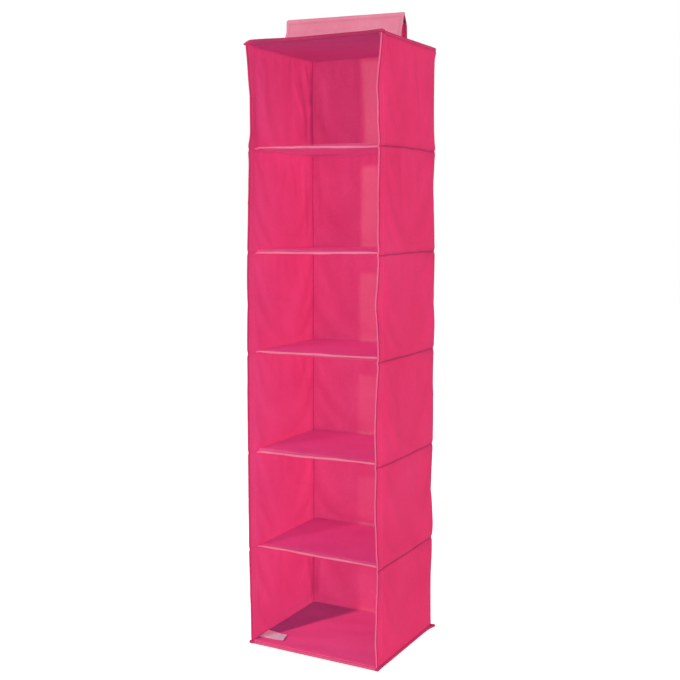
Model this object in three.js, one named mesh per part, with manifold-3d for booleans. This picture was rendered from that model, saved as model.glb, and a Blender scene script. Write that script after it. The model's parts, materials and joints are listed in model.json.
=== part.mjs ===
// Hanging shoe organizer: a soft fabric tower of six open compartments, hung from a wardrobe rail
// by a wide hook-and-loop strap on its top panel.
//
// Frame: millimetres, +Z up, origin at the bottom centre of the organizer.
// The open side faces -Y, the back wall is at +Y, left is -X.
//
// Construction: a stiff board sits inside a fabric cover at the top, at each shelf and at the
// bottom. Thin fabric walls join one board to the next, so every compartment can fold flat.

import * as THREE from "three";
import { mergeVertices } from "three/addons/utils/BufferGeometryUtils.js";
import Module from "manifold-3d";

const wasm = await Module();
wasm.setup();

// ---------------------------------------------------------------- driving dimensions
const WIDTH = 300; // outside of the side walls
const DEPTH = 265; // front edge of the side bindings to the back wall
const HEIGHT = 1250; // underside of the bottom panel to the top of the top panel
const COMPARTMENTS = 6;
const PITCH = HEIGHT / COMPARTMENTS; // one compartment, board to board
const HALF_W = WIDTH / 2;
const HALF_D = DEPTH / 2;

const FABRIC = 1.2; // wall fabric with its backing
const GAP = 0.3; // clearance between neighbouring pieces

const BOARD_THICK = 3; // stiff insert
const BOARD_CORNER = 4;
const POCKET_OVERSHOOT = 1; // pocket cut past the rear of its cover, so that it opens there

const PANEL_THICK = 7; // covered top and bottom panels
const PANEL_INSET = 1; // panel cover inside the wall line
const PANEL_CORNER = 5;
const PANEL_MARGIN = 5; // cover around the sides and front of the pocket
const PANEL_BOARD_SETBACK = 1; // board's rear edge inside the cover's
const EDGE_BINDING = 4.7; // how far the edge binding stands outside the panel cover
const EDGE_BEVEL = 1.4;

const SHELF_THICK = 6; // covered shelf
const SHELF_SIDE_INSET = 6; // padded body of the shelf, inside the wall line
const SHELF_FRONT = -HALF_D + 24; // front hem, set back from the walls' front edges
const SHELF_BACK = HALF_D - 6.5; // rear end of the padded body
const SHELF_CORNER = 3;
const SHELF_MARGIN = 3; // cover around the sides and front of the pocket
const FLANGE_THICK = 1; // sewn-in flange of a shelf cover
const FLANGE_SETBACK = 6; // flange's front edge behind the hem
const FLANGE_OVERHANG = 0.2; // flange past the outside of each side wall

const FRONT_BINDING_WIDTH = 20; // folded tape along each side wall's front edge
const FRONT_BINDING_LEAF = 0.8;
const FRONT_BINDING_CHAMFER = 0.5;

const FLAP_WIDTH = 270; // hanging strap, along X
const FLAP_THICK = 1.2;
const FLAP_CORNER = 7;
const CLOSURE_WIDTH = 262; // hook and loop strips
const CLOSURE_THICK = 1.5;

// ---------------------------------------------------------------- materials
const cloth = (color, roughness) => new THREE.MeshStandardMaterial({ color, roughness });
const PINK = cloth(0xdf396b, 0.78);
const PINK_DEEP = cloth(0xd03664, 0.8);
const PINK_LIGHT = cloth(0xe7809d, 0.75);
const PINK_BINDING = cloth(0xe84b7c, 0.7);
const CARD = cloth(0xb49a77, 0.9);
const BLACK = cloth(0x17151a, 0.95);
const WHITE = cloth(0xf4f1f2, 0.6);

// ---------------------------------------------------------------- helpers
const model = new THREE.Group();

function put(name, geometry, material) {
  const mesh = new THREE.Mesh(geometry, material);
  mesh.name = name;
  model.add(mesh);
}

// mesh geometry to a solid for boolean operations
function solid(geometry) {
  geometry.deleteAttribute("normal");
  geometry.deleteAttribute("uv");
  const merged = mergeVertices(geometry, 1e-4);
  return new wasm.Manifold(
    new wasm.Mesh({
      numProp: 3,
      vertProperties: new Float32Array(merged.attributes.position.array),
      triVerts: new Uint32Array(merged.index.array),
    }),
  );
}

// solid back to mesh geometry
function fromSolid(body) {
  const mesh = body.getMesh();
  const geometry = new THREE.BufferGeometry();
  const positions = new Float32Array(mesh.vertProperties);
  geometry.setAttribute("position", new THREE.BufferAttribute(positions, 3));
  geometry.setIndex(new THREE.BufferAttribute(new Uint32Array(mesh.triVerts), 1));
  geometry.computeVertexNormals();
  return geometry;
}

// a [low, high] span on one axis
const around = (middle, half) => [middle - half, middle + half];

// box between three [low, high] spans
function block([x0, x1], [y0, y1], [z0, z1]) {
  return new THREE.BoxGeometry(x1 - x0, y1 - y0, z1 - z0).translate(
    (x0 + x1) / 2,
    (y0 + y1) / 2,
    (z0 + z1) / 2,
  );
}

const polygon = (points) => new THREE.Shape(points.map(([u, v]) => new THREE.Vector2(u, v)));

// rectangle with rounded corners, in the XY plane
function roundedOutline([x0, x1], [y0, y1], radius, target = new THREE.Shape()) {
  target.moveTo(x0 + radius, y0);
  target.lineTo(x1 - radius, y0);
  target.absarc(x1 - radius, y0 + radius, radius, -Math.PI / 2, 0, false);
  target.lineTo(x1, y1 - radius);
  target.absarc(x1 - radius, y1 - radius, radius, 0, Math.PI / 2, false);
  target.lineTo(x0 + radius, y1);
  target.absarc(x0 + radius, y1 - radius, radius, Math.PI / 2, Math.PI, false);
  target.lineTo(x0, y0 + radius);
  target.absarc(x0 + radius, y0 + radius, radius, Math.PI, 1.5 * Math.PI, false);
  return target;
}

const extrude = (shape, depth) =>
  new THREE.ExtrudeGeometry(shape, { depth, bevelEnabled: false, curveSegments: 4 });

// horizontal plate with rounded corners
const plate = (xSpan, ySpan, [z0, z1], radius) =>
  extrude(roundedOutline(xSpan, ySpan, radius), z1 - z0).translate(0, 0, z0);

// extrude a shape drawn in (X, Z) along the span in Y
const extrudeAlongY = (shape, [y0, y1]) =>
  extrude(shape, y1 - y0).rotateX(Math.PI / 2).translate(0, y1, 0);

// unit normal to the left of the direction from one point to another
function leftNormal(from, to) {
  const du = to[0] - from[0];
  const dv = to[1] - from[1];
  const length = Math.hypot(du, dv);
  return [-dv / length, du / length];
}

// a strip of sheet: polyline in (Y, Z), thickened to its left side, extruded along X
function bentSheet(points, thick, width) {
  const offset = points.map((point, i) => {
    const before = points[Math.max(i - 1, 0)];
    const after = points[Math.min(i + 1, points.length - 1)];
    const normal = leftNormal(before, after);
    return [point[0] + normal[0] * thick, point[1] + normal[1] * thick];
  });
  // the shape's x and y become Y and Z, its depth becomes X
  const turn = new THREE.Matrix4().set(
    0, 0, 1, 0,
    1, 0, 0, 0,
    0, 1, 0, 0,
    0, 0, 0, 1,
  );
  return extrude(polygon([...points, ...offset.reverse()]), width)
    .applyMatrix4(turn)
    .translate(-width / 2, 0, 0);
}

// ---------------------------------------------------------------- covered boards
// a fabric cover, its pocket open at the rear, and the stiff board inside it;
// a flange, where given, is joined to the cover
function coveredBoard(name, size) {
  const { halfWidth, front, back, middle, thick, corner, margin, boardBack, flange } = size;
  const body = solid(
    plate(around(0, halfWidth), [front, back], around(middle, thick / 2), corner),
  );
  const pocket = solid(
    block(
      around(0, halfWidth - margin),
      [front + margin, back + POCKET_OVERSHOOT],
      around(middle, BOARD_THICK / 2 + GAP),
    ),
  );
  const padded = flange ? body.add(solid(flange)) : body;
  put(`${name}_cover`, fromSolid(padded.subtract(pocket)), PINK);
  put(
    `${name}_board`,
    plate(
      around(0, halfWidth - margin - GAP),
      [front + margin + GAP, boardBack],
      around(middle, BOARD_THICK / 2),
      BOARD_CORNER,
    ),
    CARD,
  );
}

// ---------------------------------------------------------------- top and bottom panels
const PANEL_X = HALF_W - PANEL_INSET;
const PANEL_Y = HALF_D - PANEL_INSET;

// closed ring around the outside of a panel cover, rounded top and bottom
function edgeBinding(name, zLow) {
  // the bevel widens the drawn ring by its own size, inwards and outwards
  const inset = GAP + EDGE_BEVEL;
  const outset = EDGE_BINDING - EDGE_BEVEL;
  const outline = (grow, target) =>
    roundedOutline(
      around(0, PANEL_X + grow),
      around(0, PANEL_Y + grow),
      PANEL_CORNER + grow,
      target,
    );
  const ring = outline(outset);
  ring.holes.push(outline(inset, new THREE.Path()));
  put(
    `${name}_edge_binding`,
    new THREE.ExtrudeGeometry(ring, {
      depth: PANEL_THICK - 2 * EDGE_BEVEL,
      bevelEnabled: true,
      bevelThickness: EDGE_BEVEL,
      bevelSize: EDGE_BEVEL,
      bevelSegments: 2,
      curveSegments: 4,
    }).translate(0, 0, zLow + EDGE_BEVEL),
    PINK_BINDING,
  );
}

function panel(name, zLow) {
  coveredBoard(name, {
    halfWidth: PANEL_X,
    front: -PANEL_Y,
    back: PANEL_Y,
    middle: zLow + PANEL_THICK / 2,
    thick: PANEL_THICK,
    corner: PANEL_CORNER,
    margin: PANEL_MARGIN,
    boardBack: PANEL_Y - PANEL_BOARD_SETBACK,
  });
  edgeBinding(name, zLow);
}

panel("top", HEIGHT - PANEL_THICK);
panel("bottom", 0);

// ---------------------------------------------------------------- shelves
// mid-height of a shelf, counted down from the top
const shelfLevel = (k) => HEIGHT - k * PITCH;

// a padded cover, set in from the walls, with a thin flange sewn between the wall sections
function shelf(k) {
  const middle = shelfLevel(k);
  const zLow = middle - SHELF_THICK / 2;
  coveredBoard(`shelf_${k}`, {
    halfWidth: HALF_W - SHELF_SIDE_INSET,
    front: SHELF_FRONT,
    back: SHELF_BACK,
    middle,
    thick: SHELF_THICK,
    corner: SHELF_CORNER,
    margin: SHELF_MARGIN,
    boardBack: SHELF_BACK,
    flange: block(
      around(0, HALF_W + FLANGE_OVERHANG),
      [SHELF_FRONT + FLANGE_SETBACK, HALF_D],
      [zLow, zLow + FLANGE_THICK],
    ),
  });
}

for (let k = 1; k < COMPARTMENTS; k++) shelf(k);

// ---------------------------------------------------------------- walls and front bindings
// side is -1 for left, 1 for right
function sideWall(name, side, [zLow, zTop]) {
  const outer = side * HALF_W;
  const inner = side * (HALF_W - FABRIC);
  const front = -HALF_D + FRONT_BINDING_LEAF + GAP;
  put(
    name,
    block([Math.min(outer, inner), Math.max(outer, inner)], [front, HALF_D], [zLow, zTop]),
    PINK,
  );
}

// U-shaped tape: outer leaf, web around the wall's front edge, inner leaf
function frontBinding(name, side, [zLow, zTop]) {
  const chamfer = FRONT_BINDING_CHAMFER;
  const outerGap = HALF_W + GAP; // inner face of the outer leaf
  const innerGap = HALF_W - FABRIC - GAP; // outer face of the inner leaf
  const outside = outerGap + FRONT_BINDING_LEAF;
  const inside = innerGap - FRONT_BINDING_LEAF;
  const front = -HALF_D;
  const web = front + FRONT_BINDING_LEAF;
  const rear = front + FRONT_BINDING_WIDTH;
  const profile = [
    [outside, rear],
    [outside, front + chamfer],
    [outside - chamfer, front],
    [inside + chamfer, front],
    [inside, front + chamfer],
    [inside, rear],
    [innerGap, rear],
    [innerGap, web],
    [outerGap, web],
    [outerGap, rear],
  ].map(([x, y]) => [side * x, y]);
  put(name, extrude(polygon(profile), zTop - zLow).translate(0, 0, zLow), PINK_BINDING);
}

function backWall(name, zSpan) {
  const halfWidth = HALF_W - FABRIC - GAP;
  put(name, block(around(0, halfWidth), [HALF_D - FABRIC, HALF_D], zSpan), PINK_DEEP);
}

// each compartment's walls reach from the flange or panel below to the shelf or panel above
for (let k = 1; k <= COMPARTMENTS; k++) {
  const ceiling = k === 1 ? HEIGHT - PANEL_THICK : shelfLevel(k - 1) - SHELF_THICK / 2;
  const floor =
    k === COMPARTMENTS ? PANEL_THICK : shelfLevel(k) - SHELF_THICK / 2 + FLANGE_THICK;
  const zSpan = [floor + GAP, ceiling - GAP];
  for (const [label, side] of [["left", -1], ["right", 1]]) {
    sideWall(`${label}_wall_${k}`, side, zSpan);
    frontBinding(`${label}_front_binding_${k}`, side, zSpan);
  }
  backWall(`back_wall_${k}`, zSpan);
}

// ---------------------------------------------------------------- hanging strap
// Two flaps stand on the top panel and lean together to close over a rail.
// Outer faces, bottom to top: [Y, Z above the top panel].
const FRONT_FLAP = [
  [-12.5, 0.5], [-12.5, 14], [-11.4, 20], [-9, 26],
  [-7.6, 28.4], [-7, 31], [-7, 50],
];
const REAR_FLAP = [
  [13.5, 0.5], [13.5, 20], [12.6, 25], [10.4, 30.5],
  [7.6, 35], [1.2, 42.8], [-1.6, 46.2], [-1.9, 49],
];
// Trimming body for the upper corners: wider than the flap up to its shoulder
const TRIM_DROP = 5; // starts this far below the top panel's upper face
const TRIM_SHOULDER = 20; // above the top panel
const TRIM_EXTRA = 1; // extra width on each side below the shoulder
const TRIM_HALF_DEPTH = 40;

function flapTrim(zTop) {
  const half = FLAP_WIDTH / 2;
  const wide = half + TRIM_EXTRA;
  const bottom = HEIGHT - TRIM_DROP;
  const shoulder = HEIGHT + TRIM_SHOULDER;
  const arcX = half - FLAP_CORNER;
  const arcZ = zTop - FLAP_CORNER;
  const outline = polygon([
    [-wide, bottom],
    [wide, bottom],
    [wide, shoulder],
    [half, shoulder],
    [half, arcZ],
  ]);
  outline.absarc(arcX, arcZ, FLAP_CORNER, 0, Math.PI / 2, false);
  outline.lineTo(-arcX, zTop);
  outline.absarc(-arcX, arcZ, FLAP_CORNER, Math.PI / 2, Math.PI, false);
  outline.lineTo(-half, shoulder);
  outline.lineTo(-wide, shoulder);
  return solid(extrudeAlongY(outline, around(0, TRIM_HALF_DEPTH)));
}

function flap(name, profile, isRear) {
  const points = profile.map(([y, z]) => [y, z + HEIGHT]);
  const zTop = points.at(-1)[1];
  // run so that the left side, which gets the thickness, is the inside of the loop
  if (!isRear) points.reverse();
  const sheet = solid(bentSheet(points, FLAP_THICK, FLAP_WIDTH));
  put(name, fromSolid(sheet.intersect(flapTrim(zTop))), PINK_LIGHT);
}

// flat against the upright upper part of the front flap
function hookStrip() {
  const [low, high] = [31.5, 48.5]; // above the top panel
  const front = FRONT_FLAP.at(-1)[0] + FLAP_THICK + GAP;
  put(
    "hook_strip",
    block(
      around(0, CLOSURE_WIDTH / 2),
      [front, front + CLOSURE_THICK],
      [HEIGHT + low, HEIGHT + high],
    ),
    BLACK,
  );
}

// along the inner face of the rear flap's longest sloping stretch
function loopStrip() {
  const [start, end] = [REAR_FLAP[4], REAR_FLAP[5]];
  const ends = [0.6, 9.4]; // distances up the slope from its start
  const normal = leftNormal(start, end); // towards the inside of the loop
  const along = [normal[1], -normal[0]];
  const offset = FLAP_THICK + GAP;
  const points = ends.map((distance) => [
    start[0] + along[0] * distance + normal[0] * offset,
    start[1] + along[1] * distance + normal[1] * offset + HEIGHT,
  ]);
  put("loop_strip", bentSheet(points, CLOSURE_THICK, CLOSURE_WIDTH), BLACK);
}

flap("front_hanging_flap", FRONT_FLAP, false);
flap("rear_hanging_flap", REAR_FLAP, true);
hookStrip();
loopStrip();

// ---------------------------------------------------------------- care label
// a small blank tag at the lower left, arching just above the bottom panel
const LABEL_WIDTH = 31; // along Y
const LABEL_THICK = 0.7;
const LABEL_WALL_GAP = 1.6; // from the left wall's inner face
const LABEL_FRONT = -105;
// underside: [distance from the label's left end, height above the bottom panel]
const LABEL_PROFILE = [
  [0, 0.6], [10, 1.0], [22, 2.0], [34, 2.3], [44, 1.5], [52, 0.6],
];

function careLabel() {
  const left = -HALF_W + FABRIC + LABEL_WALL_GAP;
  const lower = LABEL_PROFILE.map(([x, z]) => [left + x, PANEL_THICK + z]);
  const upper = lower.map(([x, z]) => [x, z + LABEL_THICK]).reverse();
  put(
    "care_label",
    extrudeAlongY(polygon([...lower, ...upper]), [LABEL_FRONT, LABEL_FRONT + LABEL_WIDTH]),
    WHITE,
  );
}

careLabel();

export default model;
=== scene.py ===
import json
import math

import bmesh
import bpy
import numpy as np
from mathutils import Matrix, Vector

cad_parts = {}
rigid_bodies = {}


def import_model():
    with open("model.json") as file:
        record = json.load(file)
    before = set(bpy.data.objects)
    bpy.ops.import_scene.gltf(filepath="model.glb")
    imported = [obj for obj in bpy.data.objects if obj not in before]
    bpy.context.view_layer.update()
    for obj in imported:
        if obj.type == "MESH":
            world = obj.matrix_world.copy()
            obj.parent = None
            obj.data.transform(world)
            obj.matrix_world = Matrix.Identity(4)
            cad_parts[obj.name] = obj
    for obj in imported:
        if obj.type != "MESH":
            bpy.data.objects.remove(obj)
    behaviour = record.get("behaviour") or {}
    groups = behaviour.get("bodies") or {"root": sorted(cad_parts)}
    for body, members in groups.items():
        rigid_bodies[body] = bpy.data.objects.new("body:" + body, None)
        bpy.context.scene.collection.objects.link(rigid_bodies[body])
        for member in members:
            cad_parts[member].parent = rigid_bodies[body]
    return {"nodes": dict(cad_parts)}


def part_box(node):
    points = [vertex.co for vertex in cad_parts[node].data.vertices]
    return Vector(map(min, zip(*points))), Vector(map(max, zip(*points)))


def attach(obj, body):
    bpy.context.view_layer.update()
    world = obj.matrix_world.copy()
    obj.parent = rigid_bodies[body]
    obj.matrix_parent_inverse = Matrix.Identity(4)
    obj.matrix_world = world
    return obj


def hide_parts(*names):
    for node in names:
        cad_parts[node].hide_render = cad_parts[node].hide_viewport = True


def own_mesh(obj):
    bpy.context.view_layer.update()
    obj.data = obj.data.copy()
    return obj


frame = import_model()
scene = bpy.context.scene
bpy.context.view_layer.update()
MM = 0.001
N = 6  # compartments


# ------------------------------------------------------------------ what the frame says
def box(name):
    """The low and high corner of a frame piece."""
    low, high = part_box(name)
    return np.array(low) / MM, np.array(high) / MM


WALL_X = box("right_wall_3")[1][0]  # outer face of the right wall
FRONT_Y = box("left_wall_3")[0][1]  # front edge of the side walls' cloth
BACK_Y = box("back_wall_3")[1][1]  # outer face of the back wall
CLOTH = WALL_X - box("right_wall_3")[0][0]  # thickness of the walls' cloth
TOP_LOW, TOP_HIGH = (corner[2] for corner in box("top_cover"))
BOTTOM_LOW, BOTTOM_HIGH = (corner[2] for corner in box("bottom_cover"))
FLAP_X = box("front_hanging_flap")[1][0]  # half width of the strap's flaps
SHELF = {k: box(f"shelf_{k}_cover") for k in range(1, N)}
# Heights of the joints between wall sections, where a shelf's flange is sewn in. The first and
# last are the ends of the walls, inside the bound edges and clear of the boards.
SEAM = [TOP_LOW + 0.8]
for k in range(1, N):
    SEAM.append((box(f"left_wall_{k}")[0][2] + box(f"left_wall_{k + 1}")[1][2]) / 2)
SEAM.append(BOTTOM_HIGH - 0.8)
BODY = ["top"] + [f"shelf_{k}" for k in range(1, N)] + ["bottom"]  # what each seam moves with
SIDES = {"left": -1, "right": 1}


# ------------------------------------------------------------------ small tools
def smooth(x):
    x = np.clip(x, 0, 1)
    return x * x * (3 - 2 * x)


def bell(distance, width):
    return np.exp(-((distance / width) ** 2))


def decay(distance, reach):
    return np.exp(-distance / reach)


def unit(vectors):
    return vectors / np.linalg.norm(vectors, axis=-1, keepdims=True)


def xyz(x, y, z):
    """Points from coordinates of any shapes that fit together."""
    return np.stack(np.broadcast_arrays(x, y, z), -1)


def arc_length(points):
    """The distance travelled along a line at each of its points."""
    return np.concatenate([[0], np.cumsum(np.linalg.norm(np.diff(points, axis=0), axis=1))])


def waves(along, across, seed, count, shortest, longest, lean=0.0):
    """A smooth random field over two coordinates, about -1 to 1. lean 1 varies along only."""
    rng = np.random.default_rng(seed)
    out = np.zeros(np.broadcast(along, across).shape)
    for _ in range(count):
        length = shortest * (longest / shortest) ** rng.random()
        angle = (rng.random() - 0.5) * math.pi * (1 - lean)
        place = along * math.cos(angle) + across * math.sin(angle)
        phase = rng.random() * 2 * math.pi
        out += np.sin(2 * math.pi * place / length + phase) * (0.6 + 0.4 * rng.random())
    return out / math.sqrt(count) / 1.1


def line_bump(along, down, start, end, width, ends):
    """A ridge from start to end, 1 on the line, fading over the share ends at both its ends."""
    run, drop = end[0] - start[0], end[1] - start[1]
    share = ((along - start[0]) * run + (down - start[1]) * drop) / (run * run + drop * drop)
    share = np.clip(share, 0, 1)
    distance = np.hypot(along - start[0] - share * run, down - start[1] - share * drop)
    return bell(distance, width) * smooth(share / ends) * smooth((1 - share) / ends)


def graded(low, high, low_steps, high_steps, step):
    """Coordinates from low to high, finer at the two edges."""
    middle = np.linspace(low + low_steps[-1], high - high_steps[-1], int((high - low) / step))
    return np.concatenate(
        [low + np.array(low_steps[:-1]), middle, high - np.array(high_steps[:-1])[::-1]]
    )


def grid_normals(points, toward):
    """Unit normals of a grid of points, on the side of toward."""
    normals = np.cross(np.gradient(points, axis=0), np.gradient(points, axis=1))
    normals /= np.linalg.norm(normals, axis=2, keepdims=True) + 1e-12
    flip = np.sign((normals * toward).sum(2, keepdims=True))
    return normals * np.where(flip == 0, 1, flip)


class Build:
    """Collects vertices and faces, with a material index for each face."""

    def __init__(self):
        self.verts = []
        self.painted_shadings = []
        self.faces = []
        self.mats = []

    def add(self, verts, faces, mats=0, crease=0.0):
        """mats is one index or a list of them; the last argument is how much painted shade deepens
        the colour, and where it is negative, how much painted light makes it paler.
        """
        verts = np.asarray(verts, float).reshape(-1, 3)
        first = sum(map(len, self.verts))
        self.verts.append(verts)
        self.painted_shadings.append(np.broadcast_to(crease, len(verts)))
        self.faces += [tuple(int(i) + first for i in face) for face in faces]
        self.mats += [mats] * len(faces) if isinstance(mats, int) else mats

    def finish(self, name, materials, body, replaces=None, sharp=50, fold=None):
        """Makes the object. fold is the compartment it belongs to; when it is given, the piece gets
        its own copy of its mesh.
        """
        mesh = bpy.data.meshes.new(name)
        mesh.from_pydata((np.vstack(self.verts) * MM).tolist(), [], self.faces)
        for material in materials:
            mesh.materials.append(material)
        mesh.polygons.foreach_set("material_index", np.array(self.mats, np.int32))
        # painted light and shade for each point, kept as an attribute that the cloth materials read
        crease = np.concatenate(self.painted_shadings)
        if crease.any():
            attribute = mesh.attributes.new("crease", "FLOAT", "POINT")
            attribute.data.foreach_set("value", crease.astype(np.float32))
        bm = bmesh.new()
        bm.from_mesh(mesh)
        bmesh.ops.remove_doubles(bm, verts=bm.verts, dist=1e-7)
        bmesh.ops.recalc_face_normals(bm, faces=bm.faces)
        bm.to_mesh(mesh)
        bm.free()
        mesh.polygons.foreach_set("use_smooth", np.ones(len(mesh.polygons), bool))
        mesh.set_sharp_from_angle(angle=math.radians(sharp))
        mesh.update()
        piece = bpy.data.objects.new(name, mesh)
        scene.collection.objects.link(piece)
        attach(piece, body)
        if fold:
            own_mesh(piece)
        if replaces:
            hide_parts(replaces)


def shell(build, face, other, mats=(0, 0, 0), crease=None):
    """A closed sheet between two grids of points. mats: first face, other face, rim."""
    rows, cols = face.shape[:2]
    total = rows * cols
    faces = []
    for first, step in ((0, 1), (total, -1)):
        for i in range(rows - 1):
            for j in range(cols - 1):
                corner = first + i * cols + j
                faces.append([corner, corner + 1, corner + cols + 1, corner + cols][::step])
    per_face = len(faces) // 2
    rim = (
        [(0, j) for j in range(cols)]
        + [(i, cols - 1) for i in range(1, rows)]
        + [(rows - 1, j) for j in range(cols - 2, -1, -1)]
        + [(i, 0) for i in range(rows - 2, 0, -1)]
    )
    rim = [i * cols + j for i, j in rim]
    for here, after in zip(rim, rim[1:] + rim[:1]):
        faces.append((here, after, after + total, here + total))
    mats = [mats[0]] * per_face + [mats[1]] * per_face + [mats[2]] * len(rim)
    shading_paint = 0.0 if crease is None else np.concatenate([part.reshape(-1) for part in crease])
    build.add(np.concatenate([face.reshape(-1, 3), other.reshape(-1, 3)]), faces, mats, shading_paint)


def sweep(build, rings, closed_path=False, mat=0, edge_mats=None):
    """A closed profile carried along a path: rings is (stations, profile points, 3).
    edge_mats gives some edges of the profile their own material."""
    stations, count = rings.shape[:2]
    edge_mats = edge_mats or {}
    faces = []
    mats = []
    for i in range(stations if closed_path else stations - 1):
        here, after = i * count, (i + 1) % stations * count
        for j in range(count):
            turn = (j + 1) % count
            faces.append((here + j, here + turn, after + turn, after + j))
            mats.append(edge_mats.get(j, mat))
    if not closed_path:
        faces.append(tuple(range(count))[::-1])
        faces.append(tuple((stations - 1) * count + j for j in range(count)))
        mats += [mat, mat]
    build.add(rings, faces, mats)


OVAL_ANGLES = np.linspace(0, 2 * math.pi, 9)[:-1]


def oval(centre, across, tall):
    """Rings round a line, from their two half axes."""
    return np.stack(
        [centre + across * math.cos(a) + tall * math.sin(a) for a in OVAL_ANGLES], 1
    )


# One stitch as (along, across, out) shares of its half length, half width and lift:
# two tips sunk into the cloth and two rings of four.
STITCH = [(-1, 0, -0.35)]
for u in (-0.55, 0.55):
    STITCH += [(u, -1, 0.1), (u, 0, 1.0), (u, 1, 0.1), (u, 0, -0.6)]
STITCH = np.array(STITCH + [(1, 0, -0.35)])
STITCH_FACES = []
for i, j in ((1, 2), (2, 3), (3, 4), (4, 1)):
    STITCH_FACES += [(0, j, i), (i, j, j + 4, i + 4), (9, i + 4, j + 4)]


def at_index(rows, index):
    """Rows read at fractional indices."""
    i = np.clip(np.floor(index).astype(int), 0, len(rows) - 2)
    part = (index - i)[:, None]
    return rows[i] * (1 - part) + rows[i + 1] * part


def stitches(build, path, normals, length=3.0, pitch=4.3, width=0.75, lift=0.32, margin=2.0):
    """A row of thread stitches, in material 1, lying on a surface along a path."""
    normals = np.broadcast_to(np.asarray(normals, float), path.shape)
    travelled = arc_length(path)
    sewn = travelled[-1] - 2 * margin
    count = int(sewn / pitch)
    at = margin + (sewn - (count - 1) * pitch) / 2 + pitch * np.arange(count)
    index = np.interp(at, travelled, np.arange(len(path)))
    centre = at_index(path, index)
    out = unit(at_index(normals, index))
    along = at_index(np.gradient(path, axis=0), index)
    along = unit(along - out * (along * out).sum(1, keepdims=True))
    across = np.cross(out, along)
    verts = (
        centre[:, None]
        + along[:, None] * (STITCH[:, :1] * length / 2)
        + across[:, None] * (STITCH[:, 1:2] * width / 2)
        + out[:, None] * (STITCH[:, 2:] * lift)
    )
    faces = [tuple(x + 10 * i for x in face) for i in range(count) for face in STITCH_FACES]
    build.add(verts, faces, 1)


# ------------------------------------------------------------------ materials
def srgb(code):
    parts = [int(code[i : i + 2], 16) / 255 for i in (0, 2, 4)]
    return [x / 12.92 if x <= 0.04045 else ((x + 0.055) / 1.055) ** 2.4 for x in parts]


class Shader:
    """The node tree of a material or world, with short ways to add nodes to it."""

    def __init__(self, owner):
        self.owner = owner
        owner.use_nodes = True
        self.tree = owner.node_tree
        self.tree.nodes.clear()

    def node(self, kind, *values, operation=None, **named):
        """Adds a node. Inputs are given in order, or by name with _ for each space;
        a value that is a socket is linked."""
        new = self.tree.nodes.new("ShaderNode" + kind)
        if operation:
            new.operation = operation
        pairs = list(zip(new.inputs, values))
        pairs += [(new.inputs[key.replace("_", " ")], value) for key, value in named.items()]
        for socket, value in pairs:
            if isinstance(value, bpy.types.NodeSocket):
                self.tree.links.new(value, socket)
            else:
                socket.default_value = value
        return new

    def object_place(self):
        return self.node("TexCoord").outputs["Object"]

    def calc(self, operation, *values):
        return self.node("Math", *values, operation=operation).outputs[0]

    def vector(self, operation, *values, **named):
        return self.node("VectorMath", *values, operation=operation, **named).outputs[0]

    def noise(self, place, scale, detail, roughness=0.5, distortion=0.0):
        new = self.node(
            "TexNoise", Vector=place, Scale=scale, Detail=detail,
            Roughness=roughness, Distortion=distortion,
        )
        return new.outputs["Fac"]

    def ramp(self, factor, low, high, middle=None):
        """A colour ramp through (position, linear colour) stops, eased if it has a middle."""
        new = self.node("ValToRGB", factor)
        stops = new.color_ramp.elements
        for stop, (position, colour) in zip(stops, (low, high)):
            stop.position = position
            stop.color = (*colour, 1)
        if middle:
            new.color_ramp.interpolation = "EASE"
            stops.new(middle[0]).color = (*middle[1], 1)
        return new.outputs[0]

    def bump(self, height, strength, distance, **named):
        """distance is in millimetres."""
        named.update(Strength=strength, Distance=distance * MM, Height=height)
        return self.node("Bump", **named).outputs[0]

    def surface(self, **named):
        """Ends a material with a Principled surface."""
        self.node("OutputMaterial", self.node("BsdfPrincipled", **named).outputs[0])
        return self.owner


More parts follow.
